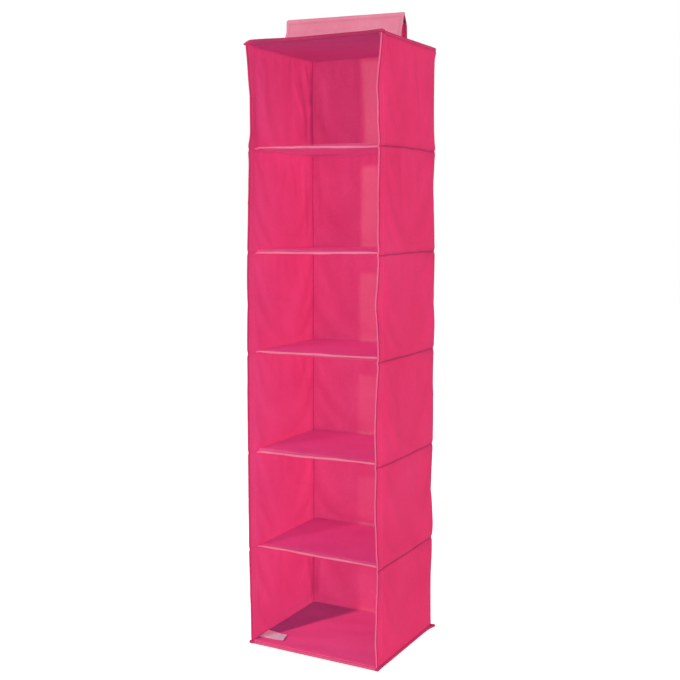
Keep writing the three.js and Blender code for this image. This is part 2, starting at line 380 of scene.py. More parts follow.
def fabric(
    name, shades, axes, period=1.15, rough=0.7, sheen=0.1, weave=0.5, crumple=0.35, rib=1.0
):
    """Woven cloth. shades: middle, dark, light. The threads run along the two named axes,
    period mm apart; rib is how much closer they lie along the second axis."""
    colour, dark, light = (srgb(code) for code in shades.split())
    shader = Shader(bpy.data.materials.new(name))
    calc = shader.calc
    place = shader.object_place()
    split = shader.node("SeparateXYZ", place).outputs
    first, second = (split["xyz".index(axis)] for axis in axes)
    turns = 2 * math.pi / (period * MM)

    # plain weave, over and under in a checker, with slightly wavy threads
    wobble = calc("SUBTRACT", shader.noise(place, scale=60.0, detail=2.0), 0.5)
    wobble = calc("MULTIPLY", wobble, 2.2)
    sine_1 = calc("SINE", calc("ADD", calc("MULTIPLY", first, turns), wobble))
    sine_2 = calc("SINE", calc("ADD", calc("MULTIPLY", second, turns * rib), wobble))
    threads = calc("ADD", calc("MULTIPLY", calc("MULTIPLY", sine_1, sine_2), 0.5), 0.5)

    # slubs: short thicker threads, drawn out along the second axis
    stretch = [35.0 if axis == axes[1] else 900.0 for axis in "xyz"]
    drawn = shader.node("Mapping", Vector=place, Scale=stretch).outputs[0]
    slub = shader.noise(drawn, scale=1.0, detail=2.0)

    # cloudy variation of the dye, broad and fine
    broad = shader.noise(place, scale=7.0, detail=3.0, roughness=0.55)
    fine = shader.noise(place, scale=160.0, detail=4.0, roughness=0.6)
    dye = calc("ADD", calc("MULTIPLY", broad, 0.45), calc("MULTIPLY", fine, 0.25))
    dye = calc("ADD", dye, calc("MULTIPLY", slub, 0.15))
    dye = calc("ADD", dye, calc("MULTIPLY", threads, 0.15))
    dyed = shader.ramp(dye, (0.5 - 0.16, dark), (0.5 + 0.16, light), (0.5, colour))

    # painted shading: the cloth's colour is a shade deeper where shade falls along creases, seams
    # and corners, and paler where the value is negative, as painted light
    attribute = shader.node("Attribute")
    attribute.attribute_name = "crease"
    lost = shader.vector("SCALE", (1.0, 0.85, 0.7), Scale=attribute.outputs["Fac"])
    left = shader.vector("SUBTRACT", (1.0, 1.0, 1.0), lost)

    # relief: threads and slubs over the soft crumple of thin cloth
    folds = shader.noise(place, scale=28.0, detail=3.0, roughness=0.5, distortion=0.6)
    relief = calc("ADD", calc("MULTIPLY", threads, weave), calc("MULTIPLY", slub, 0.35 * weave))
    soft = shader.bump(folds, strength=crumple, distance=3.0)
    return shader.surface(
        Base_Color=shader.vector("MULTIPLY", dyed, left),
        Roughness=calc("ADD", rough - 0.06, calc("MULTIPLY", fine, 0.12)),
        Specular_IOR_Level=0.25,
        Sheen_Weight=sheen,
        Sheen_Roughness=0.45,
        Sheen_Tint=(*light, 1),
        Normal=shader.bump(relief, strength=0.55, distance=0.25, Normal=soft),
    )


def tape(name, shades, axes, rough=0.66, sheen=0.12, crumple=0.2):
    """Finer, smoother cloth for the bindings."""
    return fabric(name, shades, axes, period=0.9, rough=rough, sheen=sheen, crumple=crumple)


def thread(name, code):
    colour = srgb(code)
    shader = Shader(bpy.data.materials.new(name))
    fibres = shader.noise(shader.object_place(), scale=900.0, detail=2.0)
    dark, light = [x * 0.8 for x in colour], [min(1, x * 1.15) for x in colour]
    return shader.surface(
        Base_Color=shader.ramp(fibres, (0, dark), (1, light)),
        Roughness=0.5,
        Sheen_Weight=0.12,
        Normal=shader.bump(fibres, strength=0.4, distance=0.1),
    )


def cardboard(name):
    shader = Shader(bpy.data.materials.new(name))
    place = shader.object_place()
    fibres = shader.noise(place, scale=240.0, detail=6.0, roughness=0.7)
    specks = shader.node("TexVoronoi", Vector=place, Scale=420.0).outputs["Distance"]
    parts = (shader.calc("MULTIPLY", fibres, 0.8), shader.calc("MULTIPLY", specks, 0.3))
    blend = shader.calc("ADD", *parts)
    return shader.surface(
        Base_Color=shader.ramp(blend, (0.3, srgb("8c7355")), (0.75, srgb("c9ad86"))),
        Roughness=0.9,
        Normal=shader.bump(fibres, strength=0.35, distance=0.2),
    )


def black_tape(name, scale, light, rough, sheen, relief):
    shader = Shader(bpy.data.materials.new(name))
    nap = shader.noise(shader.object_place(), scale=scale, detail=5.0, roughness=0.75)
    return shader.surface(
        Base_Color=shader.ramp(nap, (0, (0.004, 0.003, 0.005)), (1, light)),
        Roughness=rough,
        Sheen_Weight=sheen,
        Normal=shader.bump(nap, strength=relief, distance=0.6),
    )


PINK = "dc3166 d42a5d e03b70"
SIDE_CLOTH = fabric("cloth_side", PINK, "yz")
BACK_CLOTH = fabric("cloth_back", PINK, "xz")
# recoloured copies of the pink for faces inside the compartments, as painted light and shade: paler
# and bluer on the walls for the light through the thin cloth, purpler on the shelves, bottom and
# ceiling for their shade
SIDE_INNER = fabric("cloth_side_inner", "dc457e d43d75 e14e87", "yz", crumple=0.2)
BACK_INNER = fabric(
    "cloth_back_inner", "d4457c cc3d73 d94e85", "xz", rough=0.55, crumple=0.25
)
FLAT_CLOTH = fabric("cloth_flat", PINK, "xy")
FLAT_INNER = fabric("cloth_flat_inner", "b45392 ac4b89 ba5c9b", "xy", crumple=0.2)
CEILING = fabric("cloth_ceiling", "c84d8a c04581 cd5693", "xy", crumple=0.2)
TAPE = tape("cloth_tape", "dc3367 d42c5e e13d71", "yz")
# LIP, a darker copy of the tape, paints shade on the left walls' front beads
LIP = tape("cloth_lip", "c62c60 bc2657 ce386c", "yz")
# darker copies of the tape, painted shade: EDGE_TAPE round the top and bottom panels, TOP_LIP on the
# top tape's lip inside the compartment
EDGE_TAPE = tape("cloth_edge_tape", "bd2f60 b12956 c83a6d", "xy")
TOP_LIP = tape("cloth_top_lip", "b23666 aa305e b83e70", "xy", sheen=0.1)
# a paler copy of the tape, a painted highlight on the bottom tape's fold along the open front
FRONT_FOLD = tape(
    "cloth_front_fold", "e2587f da4d74 e8688d", "xz", rough=0.6, sheen=0.15, crumple=0.25
)
# paler copies of the tape for the shelves' front tapes, a painted highlight: the leaves a little
# paler, the rounded front palest
HEM_LEAF = tape("cloth_hem_leaf", "e04f84 d8477a e65a8e", "xy", rough=0.65, sheen=0.1)
HEM = tape("cloth_hem", "f4789c ee6c91 f788aa", "xz", rough=0.6, sheen=0.15, crumple=0.25)
# a paler copy of the tape, a painted highlight on the right walls' front beads
BEAD_HIGHLIGHT = tape("cloth_bead", "ea5d88 e4527d ef6b93", "yz", rough=0.6, crumple=0.15)
# the seam thread and the cord cloth are darker than the walls' cloth: painted shade for the seams'
# grooves, the rear corners and the neck behind each bead; the seams and cords themselves are real
SEAM_THREAD = thread("thread_seam", "a8264f")
SHADE_CORD = fabric(
    "cloth_cord", "ae2457 a01c4d ba2d62", "yz", period=0.8, rough=0.8, crumple=0.1
)
# STRAP is a pale pink, painted light on the strap's outer faces and feet; STRAP_INNER, on its inner
# faces and rims, keeps a deep pink close to the walls' cloth
STRAP = fabric(
    "cloth_strap", "ea89a4 e47e9b f098b0", "xz",
    period=1.3, rough=0.76, sheen=0.12, weave=0.7, rib=0.6,
)
STRAP_INNER = fabric("cloth_strap_inner", "c92f62 bf2657 d23a6d", "xz", period=1.2, rough=0.76)
PINK_THREAD = thread("thread_pink", "d94a77")
PALE_THREAD = thread("thread_pale", "e596ad")
CARD = cardboard("chipboard")
HOOKS = black_tape(
    "hook_tape", scale=1200.0, light=(0.02, 0.018, 0.022), rough=0.45, sheen=0.0, relief=0.3
)
LOOPS = black_tape(
    "loop_tape", scale=700.0, light=(0.03, 0.025, 0.03), rough=0.9, sheen=0.5, relief=0.9
)
SATIN = fabric(
    "label_satin", "f6f3f5 ece8ec ffffff", "xy", period=0.5, rough=0.42, weave=0.8, crumple=0.2
)

# ------------------------------------------------------------------ the walls' design
CORNER = 5.0  # radius of the two rear corners
WALL_ROWS = 42
TAPE_COLS = 5  # columns under each front tape
# How far each side wall's front edge leans towards the middle: (height, mm).
LEAN_RIGHT = np.array([
    (1250, -3), (1211, 0), (1182, 4.2), (1147, 7.4), (1128, 5.4), (1084, 5.8), (1046, 1.6),
    (997, 2.6), (960, 3.8), (935, 5.4), (905, 3.4), (863, 4.6), (838, 1.8), (800, 3.4),
    (773, 5.4), (741, 8.4), (700, 5.2), (650, 2.4), (622, 2.0), (600, 3.6), (573, 6.0),
    (529, 8.6), (500, 9.0), (468, 8.4), (418, 6.4), (398, 6.6), (340, 8.6), (294, 6.2),
    (240, 4.6), (207, 0.8), (174, 1.9), (123, 5.0), (56, 5.6), (0, 2.4),
])[::-1]
LEAN_LEFT = np.array([
    (1250, 0), (1211, 3.0), (1135, 7.2), (1066, 8.0), (1042, 3.2), (1010, 4.6), (915, 2.2),
    (833, -0.6), (735, -2.6), (625, -3.6), (521, -4.2), (417, -4.6), (330, -4.8), (270, -4.8),
    (208, -4.2), (125, -2.2), (74, -0.6), (0, 0.0),
])[::-1]
# How far the rear corners are pulled in: (height, left mm, right mm).
PULL = np.array([
    (0, 0.3, 0), (35, 0.9, 0.8), (109, 2.0, 1.8), (167, 0.8, 0), (208, 0, -0.4),
    (233, 0.4, -2.0), (315, 2.4, 2.2), (417, 1.0, 0), (465, 0, -0.6), (542, 1.8, 1.6),
    (625, 0.2, 0), (672, 0, -1.6), (760, 1.4, 0.8), (833, 2.2, 0.2), (905, 0.4, 2.6),
    (972, 0.2, 4.2), (1042, 2.4, 1.6), (1080, 1.0, 4.2), (1137, 0, 4.4), (1185, 2.0, 4.2),
    (1234, 1.2, 3.8), (1250, 0.4, 1.0),
])
# Long soft folds of loose cloth, by wall. Each is (compartment, start along the wall, share of
# the height down, end along the wall, share down, width, depth inwards). Along is y on the side
# walls and x on the back.
FOLDS = {
    "left": [
        (1, 44, 0.20, 112, 0.78, 6, 2.6), (1, 86, 0.02, 126, 0.40, 5, 2.0),
        (1, 100, 0.30, 119, 0.98, 5.5, -1.6), (1, -60, 0.1, -72, 0.7, 9, 0.9),
        (2, 88, 0.08, 106, 0.95, 7, 1.5), (2, 20, 0, 60, 0.5, 9, 0.8),
        (3, -70, 0.48, 40, 0.55, 4, 0.8), (3, 70, 0.1, 112, 0.8, 8, 1.0),
        (4, 60, 0, 108, 0.6, 8, 1.1), (5, 40, 0.5, 118, 0.58, 4, 0.8),
        (6, 60, 0, 112, 0.62, 8, 1.3), (6, 96, 0.25, 122, 0.95, 6, 1.2),
    ],
    "right": [
        (1, 20, 0, 70, 0.9, 10, 1.2), (1, 108, 0.1, 60, 0.95, 8, 0.9),
        (2, 120, 0, 30, 0.35, 9, 1.4), (2, -40, 0, -20, 0.9, 10, 0.8),
        (3, 124, 0.02, 20, 0.30, 9, 1.5), (3, -108, 0.45, 10, 0.62, 4.5, 1.0),
        (4, 124, 0, 40, 0.26, 9, 1.3), (4, -112, 0.53, 20, 0.46, 4.5, 1.1),
        (5, 124, 0.02, 0, 0.40, 10, 1.6), (5, -110, 0.36, 30, 0.30, 5, 0.9),
        (6, 124, 0, -20, 0.34, 10, 1.7), (6, -112, 0.72, 20, 0.60, 5, 0.9),
    ],
    "back": [
        (1, -130, 0.10, -112, 0.9, 7, 1.4), (2, -128, 0.05, -120, 0.9, 7, 1.0),
        (3, 60, 0.30, 142, 0.24, 2.2, 0.9), (3, -40, 0.42, 142, 0.34, 2.6, 0.7),
        (4, 20, 0.40, 142, 0.41, 2.2, 0.9), (5, 60, 0.34, 142, 0.31, 2.4, 1.1),
        (5, -60, 0.5, 50, 0.46, 2.6, 0.5), (6, -128, 0.35, -138, 0.98, 6, 2.2),
        (6, 30, 0.12, 142, 0.20, 3, 0.8), (2, 40, 0.5, 142, 0.56, 2.6, 0.5),
    ],
}
# Painted shade that darkens creases inside into streaks, laid out the same, ending in how much
# deeper the painted shade makes the colour.
CREASE_SHADE = {
    "left": [
        (1, 70, 0.12, 114, 0.96, 6, 0.20), (1, 98, 0.02, 124, 0.52, 5, 0.24),
        (1, 123, 0.05, 126, 0.98, 5, 0.22), (1, 129, 0, 129, 1, 7, 0.2),
        (6, 129, 0, 129, 1, 7, 0.2), (1, 30, 0, 44, 0.7, 5, 0.07),
        (1, -70, 0.05, -84, 0.55, 6, 0.05), (2, 96, 0.05, 112, 0.95, 8, 0.08),
        (3, -70, 0.46, 40, 0.52, 3, 0.05), (4, 84, 0.1, 118, 0.8, 6, 0.07),
        (6, 70, 0.05, 112, 0.6, 7, 0.08), (6, 100, 0.3, 127, 0.98, 5, 0.16),
        (5, 40, 0.5, 118, 0.58, 3, 0.06),
    ],
    "back": [
        (3, 64, 0.30, 142, 0.24, 1.6, 0.10), (3, 80, 0.36, 142, 0.34, 1.4, 0.08),
        (4, 70, 0.40, 142, 0.41, 1.6, 0.12), (5, 74, 0.30, 142, 0.28, 1.6, 0.12),
        (5, 70, 0.86, 142, 0.82, 1.8, 0.10), (6, 60, 0.14, 142, 0.20, 2.0, 0.08),
        (4, 60, 0.93, 142, 0.88, 2.0, 0.08), (2, 84, 0.52, 142, 0.56, 1.6, 0.06),
    ],
}


def wall_columns():
    """Stations round the U of the walls from the left front edge: x, y, outward normal x, y."""
    turn = BACK_Y - CORNER
    front = np.linspace(FRONT_Y, FRONT_Y + 26, 6)[:-1]
    left = [
        (-WALL_X, y, -1.0, 0.0)
        for y in np.concatenate([front, np.linspace(FRONT_Y + 26, turn, 42)])
    ]
    for angle in np.radians(np.linspace(180, 90, 7)[1:-1]):
        c, s = math.cos(angle), math.sin(angle)
        left.append((-WALL_X + CORNER + CORNER * c, turn + CORNER * s, c, s))
    xs = np.linspace(-WALL_X + CORNER, WALL_X - CORNER, 52)
    back = [(x, BACK_Y, 0.0, 1.0) for x in xs]
    right = np.array(left)[::-1] * (-1, 1, -1, 1)
    return np.concatenate([left, back, right]), len(left), len(left) + len(back) - 1


COLS, BACK_FIRST, BACK_LAST = wall_columns()
COL_X, COL_Y, COL_NX, COL_NY = COLS.T
ARC = arc_length(COLS[:, :2])
ARC_END = ARC[-1]
CORNER_ARC = {
    "left": (ARC[BACK_FIRST] + ARC[BACK_FIRST - 6]) / 2,
    "right": (ARC[BACK_LAST] + ARC[BACK_LAST + 6]) / 2,
}
ON_SIDE = np.abs(COL_NX) > 0.7
ON_LEFT = COL_X < 0


def front_columns(side, count):
    """The first columns of the left (-1) or right (1) wall, from its front edge backwards."""
    cols = np.arange(count)
    return cols if side < 0 else len(COLS) - 1 - cols


def side_arc(y, side):
    """Where a place on a side wall lies along the U."""
    behind = np.clip(y - FRONT_Y, 0, None)
    return behind if side < 0 else ARC_END - behind


def lookup(table, z, column=1):
    """Smoothed reading of a table by height."""
    steps = (-9, -4, 0, 4, 9)
    return sum(0.2 * np.interp(z + step, table[:, 0], table[:, column]) for step in steps)


def rim_curl(x, y):
    """How far the soft rim of the top panel, beyond its board, curls up at its front."""
    left = 3.2 * smooth((-x - 20) / 120) * smooth((-y - 60) / 70)
    return left + 0.8 * smooth((x - 110) / 40) * smooth((-y - 100) / 34)


def seam_wave(arc, k):
    """How much the k-th seam line wanders up and down along the wall."""
    if k == N:
        return arc * 0
    if k == 0:  # the walls follow the curled rim of the top panel
        y = np.where(arc < ARC[BACK_FIRST], FRONT_Y + arc, FRONT_Y + ARC_END - arc)
        x = np.where(arc < ARC_END / 2, -WALL_X, WALL_X)
        return rim_curl(x, np.clip(y, FRONT_Y, BACK_Y))
    rng = np.random.default_rng(700 + k)
    out = 0.55 * np.sin(2 * math.pi * arc / 210 + rng.random() * 6.3)
    out = out + 0.35 * np.sin(2 * math.pi * arc / 77 + rng.random() * 6.3)
    # it sags towards both front edges
    out = out - (0.4 + 1.5 * rng.random()) * bell(ARC_END - arc, 42)
    return out - (0.3 + 0.8 * rng.random()) * bell(arc, 42)


def marks(table, k, down, ends):
    """The sum of compartment k's lines in FOLDS or CREASE_SHADE; down is measured from seam k - 1."""
    height = SEAM[k - 1] - SEAM[k]
    walls = {
        "left": (COL_Y, ON_SIDE & ON_LEFT),
        "right": (COL_Y, ON_SIDE & ~ON_LEFT),
        "back": (COL_X, ~ON_SIDE),
    }
    total = 0
    for wall, lines in table.items():
        along, mask = walls[wall]
        for compartment, start, start_share, end, end_share, width, amount in lines:
            if compartment == k:
                points = (start, start_share * height), (end, end_share * height)
                total = total + amount * line_bump(along, down, *points, width, ends) * mask
    return total


def wall_sheet(k):
    """The outer face of compartment k's walls as a grid of points (rows down, columns round)."""
    share = np.linspace(0, 1, WALL_ROWS)
    share = 0.55 * share + 0.45 * (1 - np.cos(math.pi * share)) / 2
    share, arc = np.meshgrid(share, ARC, indexing="ij")
    # room at each seam for the shelf's flange, almost none in front of the shelf
    gap = 0.05 + 0.5 * smooth((COL_Y + 109) / 5)
    start = SEAM[k - 1] - (gap if k > 1 else 0)
    end = SEAM[k] + (gap if k < N else 0)
    height = SEAM[k - 1] - SEAM[k]
    above, below = share * height, (1 - share) * height  # distance from each seam
    near = np.minimum(above, below)
    Z = start - (start - end) * share
    Z = Z + seam_wave(arc, k - 1) * decay(above, 26) + seam_wave(arc, k) * decay(below, 26)

    # push is towards the inside: first the loose cloth's broad and fine waves
    loose = np.sin(math.pi * share) ** 0.7
    push = 0.6 * loose * waves(arc, Z, 10 + k, 7, 100, 280)
    push = push + 0.12 * loose * waves(arc, Z, 30 + k, 9, 30, 80)
    # the stitched seams draw the cloth in and pucker it
    drawn = np.where(share < 0.5, 1.0 if k > 1 else 0.25, 1.0 if k < N else 0.25)
    push = push + drawn * 1.7 * bell(near, 4.0)
    pucker = waves(arc, Z * 0.05, 50 + k, 10, 13, 34, lean=0.9)
    push = push + 0.42 * decay(near, 13) * (1 - decay(near, 3)) * pucker
    # a pressed line across the middle from the way it is folded flat
    rng = np.random.default_rng(90 + k)
    middle = 0.5 + 0.05 * (rng.random() - 0.5) + 0.018 * np.sin(arc / 97 + rng.random() * 6)
    away = np.abs(share - middle) * height
    inward = 1.0 if k % 2 else -0.7
    push = push + loose * inward * (1.2 * decay(away, 16) + 0.25 * bell(away, 1.4))
    push = push + marks(FOLDS, k, above, ends=0.25)
    # the walls stay clear of the folded shelves behind the front edge
    limit = 4.3
    push = limit * np.tanh(push / limit)
    X = COL_X - COL_NX * push
    Y = COL_Y - COL_NY * push
    # the free front edges lean in and out
    lean = np.where(ON_LEFT, lookup(LEAN_LEFT, Z), -lookup(LEAN_RIGHT, Z))
    lean = lean * smooth((-92 - COL_Y) / 40.0) * ON_SIDE
    X = X + lean
    Y = Y + 0.22 * np.abs(lean)
    # the rear corners are pulled in and out
    for column, (name, side) in enumerate(SIDES.items(), 1):
        pull = bell(arc - CORNER_ARC[name], 34) * lookup(PULL, Z, column)
        pull = pull * (1 - 0.55 * bell(near, 9))
        X = X - side * pull * 0.75
        Y = Y - pull * 0.75
    # a faint welt down each rear corner, where the sheet was seamed
    for corner in CORNER_ARC.values():
        welt = 0.7 * bell(arc - corner, 1.7)
        X = X + COL_NX * welt
        Y = Y + COL_NY * welt
    return xyz(X, Y, Z)


def wall_painted_shading(k, points):
    """Painted shade on compartment k's walls: how much deeper their colour is made, on the outside
    and inside.
    """
    height = SEAM[k - 1] - SEAM[k]
    above = np.clip(SEAM[k - 1] - points[..., 2], 0, height)
    below = height - above
    rear = smooth((COL_Y - 20) / 105)
    # painted shade outside: in each seam's groove, under each seam towards the rear, and above the
    # seam below near the rear
    outside = 0.20 * bell(np.minimum(above, below), 2.6)
    if k > 1:
        shade = 0.13 * rear * smooth(1 - above / (5 + 34 * rear)) * smooth(above / 3 + 0.3)
        outside = outside + np.where(ON_SIDE, shade, 0.05 * smooth(1 - above / 9))
    outside = outside + 0.07 * rear * smooth(1 - below / 14)
    # painted shade inside: along the seams above and below, and in the rear corners
    inside = 0.16 * bell(above, 3.0) + 0.10 * bell(below, 2.5)
    corner = np.where(ON_SIDE, BACK_Y - COL_Y, WALL_X - np.abs(COL_X))
    inside = inside + np.where(ON_SIDE, 0.15, 0.05) * bell(corner, 13)
    # painted shadow: the left part of the back wall, shaded by the left wall, is deeper, by a
    # different amount in each compartment
    deeper = {1: 0.11, 2: 0.04, 5: 0.02, 6: 0.06}.get(k, 0.03)
    inside = inside + np.where(ON_SIDE, 0, deeper * smooth((-24 - COL_X) / 12))
    inside = inside + marks(CREASE_SHADE, k, above, ends=0.2)
    return np.clip(outside, 0, 0.6), np.clip(inside, 0, 0.6)


SETTLE_FRAMES = 24
SETTLE_LIMIT = 1.6  # the farthest a point may move while settling


def held(rows):
    """How firmly each point of a sheet is held: at its seams, front hems and rear corners."""
    seams = smooth((np.abs(np.linspace(-1, 1, rows))[:, None] - 0.9) / 0.1)
    corners = sum(0.85 * bell(ARC - corner, 6) for corner in CORNER_ARC.values())
    weights = np.maximum(np.maximum(seams, smooth((-102 - COL_Y) / 12)), corners)
    weights = np.clip(weights, 0, 1)
    weights[0] = weights[-1] = 1
    return weights


def hanging_cloth(sheet):
    """A temporary object of the sheet with cloth simulation."""
    rows, cols = sheet.shape[:2]
    mesh = bpy.data.meshes.new("settle")
    faces = [
        (i * cols + j, i * cols + j + 1, (i + 1) * cols + j + 1, (i + 1) * cols + j)
        for i in range(rows - 1)
        for j in range(cols - 1)
    ]
    mesh.from_pydata((sheet.reshape(-1, 3) * MM).tolist(), [], faces)
    piece = bpy.data.objects.new("settle", mesh)
    scene.collection.objects.link(piece)
    group = piece.vertex_groups.new(name="held")
    for i, weight in enumerate(held(rows).reshape(-1)):
        if weight > 0.01:
            group.add([i], float(weight), "REPLACE")
    cloth = piece.modifiers.new("cloth", "CLOTH")
    settings = cloth.settings
    settings.quality = 6
    settings.mass = 0.12
    settings.tension_stiffness = settings.compression_stiffness = 12
    settings.shear_stiffness = 6
    settings.bending_stiffness = 4.0
    settings.tension_damping = settings.compression_damping = 8
    settings.air_damping = 3
    settings.vertex_group_mass = "held"
    settings.pin_stiffness = 1.0
    settings.shrink_min = -0.0012
    settings.shrink_max = -0.0012
    settings.effector_weights.gravity = 0.35
    cloth.collision_settings.use_collision = False
    cloth.collision_settings.use_self_collision = False
    cloth.point_cache.frame_start = 1
    cloth.point_cache.frame_end = SETTLE_FRAMES
    return piece


def settle(sheets):
    """Lets the sheets hang as cloth for a moment."""
    pieces = [hanging_cloth(sheet) for sheet in sheets]
    for i in range(1, SETTLE_FRAMES + 1):
        scene.frame_set(i)
    depsgraph = bpy.context.evaluated_depsgraph_get()
    settled = []
    for piece, sheet in zip(pieces, sheets):
        evaluated = piece.evaluated_get(depsgraph)
        mesh = evaluated.to_mesh()
        places = np.empty(len(mesh.vertices) * 3)
        mesh.vertices.foreach_get("co", places)
        move = places.reshape(sheet.shape) / MM - sheet
        size = np.linalg.norm(move, axis=2, keepdims=True)
        scale = np.where(size > SETTLE_LIMIT, SETTLE_LIMIT / np.maximum(size, 1e-9), 1)
        settled.append(sheet + move * scale)
        evaluated.to_mesh_clear()
    for piece in pieces:
        mesh = piece.data
        bpy.data.objects.remove(piece)
        bpy.data.meshes.remove(mesh)
    scene.frame_set(1)
    return settled


def clamp_sheet(points):
    """Keeps the cloth clear of what the folded compartments pack against."""
    X, Y = points[..., 0], points[..., 1]
    low = np.where(ON_SIDE & (COL_Y > -112), WALL_X - 4.4, 0)
    size = np.clip(np.abs(X), low, WALL_X + 4.4)
    points[..., 0] = np.where(ON_SIDE, np.sign(X) * size, X)
    points[..., 1] = np.where(ON_SIDE, Y, np.clip(Y, BACK_Y - 4.6, BACK_Y + 4.0))
    return points


# ------------------------------------------------------------------ the walls' pieces
def wall_panels(k, outer, inner, normals):
    # the walls' painted shade, outside and inside
    painted_shadings = wall_painted_shading(k, outer)
    # each wall's inner face takes its recoloured copy, painted for the interior's light
    for name, first, last, material, inner_painted_copy in (
        ("left", 0, BACK_FIRST, SIDE_CLOTH, SIDE_INNER),
        ("back", BACK_FIRST, BACK_LAST, BACK_CLOTH, BACK_INNER),
        ("right", BACK_LAST, len(COLS) - 1, SIDE_CLOTH, SIDE_INNER),
    ):
        build = Build()
        part = slice(first, last + 1)
        shading_paint = [crease[:, part] for crease in painted_shadings]
        shell(build, outer[:, part], inner[:, part], mats=(0, 2, 0), crease=shading_paint)
        if name == "back":
            # the row of stitches that closes each rear corner, seen from behind
            for col in (first + 1, last - 1):
                normal = normals[:, col]
                stitches(build, outer[:, col] + normal * 0.02, normal, width=0.6, lift=0.25)
        build.finish(
            f"{name}_wall_cloth_{k}", [material, PINK_THREAD, inner_painted_copy], BODY[k - 1],
            replaces=f"{name}_wall_{k}", sharp=40, fold=k,
        )


def corner_cords(k, outer, inner, normals):
    """Narrow cords, outside and inside, that close each rear corner; their dark colour is painted
    shade along the corner.
    """
    for name, col, inner_width in (("left", BACK_FIRST - 3, 1.7), ("right", BACK_LAST + 3, 1.0)):
        line, normal = outer[:, col], normals[:, col]
        across = unit(outer[:, col + 1] - outer[:, col - 1])
        build = Build()
        sweep(build, oval(line, across * 0.75, normal * 0.55))
        stitches(
            build, line + normal * 0.5, normal, length=2.8, pitch=3.6, width=0.7, lift=0.25, margin=1
        )
        inside = oval(inner[:, col] - normal * 0.1, across * inner_width, normal * -0.75)
        sweep(build, inside[1:-1])
        build.finish(
            f"{name}_corner_cord_{k}", [SHADE_CORD, PINK_THREAD], BODY[k - 1],
            sharp=60, fold=k,
        )


def front_tape(k, name, outer, inner, normals):
    """A folded tape over a side wall's free edge, with a rounded bead along its front."""
    cols = front_columns(SIDES[name], TAPE_COLS)
    outer, inner, normals = outer[:, cols], inner[:, cols], normals[:, cols]
    for face in (outer, inner):
        face[0, :, 2] += 0.05
        face[-1, :, 2] -= 0.05
    lift, thick, bead = 0.2, 0.6, 1.75
    skin = lift + thick
    forward = outer[:, 0] - outer[:, 1]
    forward[:, 2] = 0
    forward = unit(forward)
    out = normals[:, 0].copy()
    out[:, 2] = 0
    out = unit(out)
    middle = (outer[:, 0] + inner[:, 0]) / 2
    back = TAPE_COLS - 1
    drop = {back: 0.35}  # the leaves thin out at their back edges
    ring = [outer[:, j] + normals[:, j] * (skin - drop.get(j, 0)) for j in range(back, 0, -1)]
    # the neck, in the dark cord cloth: painted shade in the groove behind the bead
    ring.append(outer[:, 0] - forward * 3.9 + out * skin)
    ring.append(outer[:, 0] - forward * 3.0 + out * (lift + 0.02))
    ring.append(outer[:, 0] - forward * 0.9 + out * (lift + 0.02))
    for angle in np.radians(np.linspace(118, -118, 9)):
        reach = 0.9 + bead * math.cos(angle)
        ring.append(middle + forward * reach + out * (bead * math.sin(angle)))
    ring.append(inner[:, 0] - forward * 1.1 - out * (lift + 0.2))
    ring += [inner[:, j] - normals[:, j] * (skin - drop.get(j, 0)) for j in range(1, back + 1)]
    # back along the inside of the tape
    ring += [inner[:, j] - normals[:, j] * 0.04 for j in range(back, 0, -1)]
    ring.append(middle + forward * 0.3 - out * 0.62)
    ring.append(middle + forward * 0.3 + out * 0.62)
    ring += [outer[:, j] + normals[:, j] * 0.04 for j in range(1, back + 1)]
    mats = dict.fromkeys(range(back, back + 3), 2)
    mats.update(dict.fromkeys(range(back + 3, back + 11), 3))
    mats.update(dict.fromkeys(range(back + 11, back + 11 + TAPE_COLS), 4))
    build = Build()
    sweep(build, np.stack(ring, 1), edge_mats=mats)

    def near_back(grid):
        return grid[:, -1] * 0.45 + grid[:, -2] * (1 - 0.45)

    # a line of stitching near the tape's back edge on both faces
    normal = near_back(normals)
    stitches(build, near_back(outer) + normal * skin, normal)
    stitches(build, near_back(inner) - normal * skin, -normal)
    # the right walls' beads are painted paler as a highlight, the left walls' darker as shade
    build.finish(
        f"{name}_front_tape_{k}",
        [TAPE, PINK_THREAD, SHADE_CORD, BEAD_HIGHLIGHT if name == "right" else LIP, SIDE_INNER],
        BODY[k - 1], replaces=f"{name}_front_binding_{k}", sharp=55, fold=k,
    )


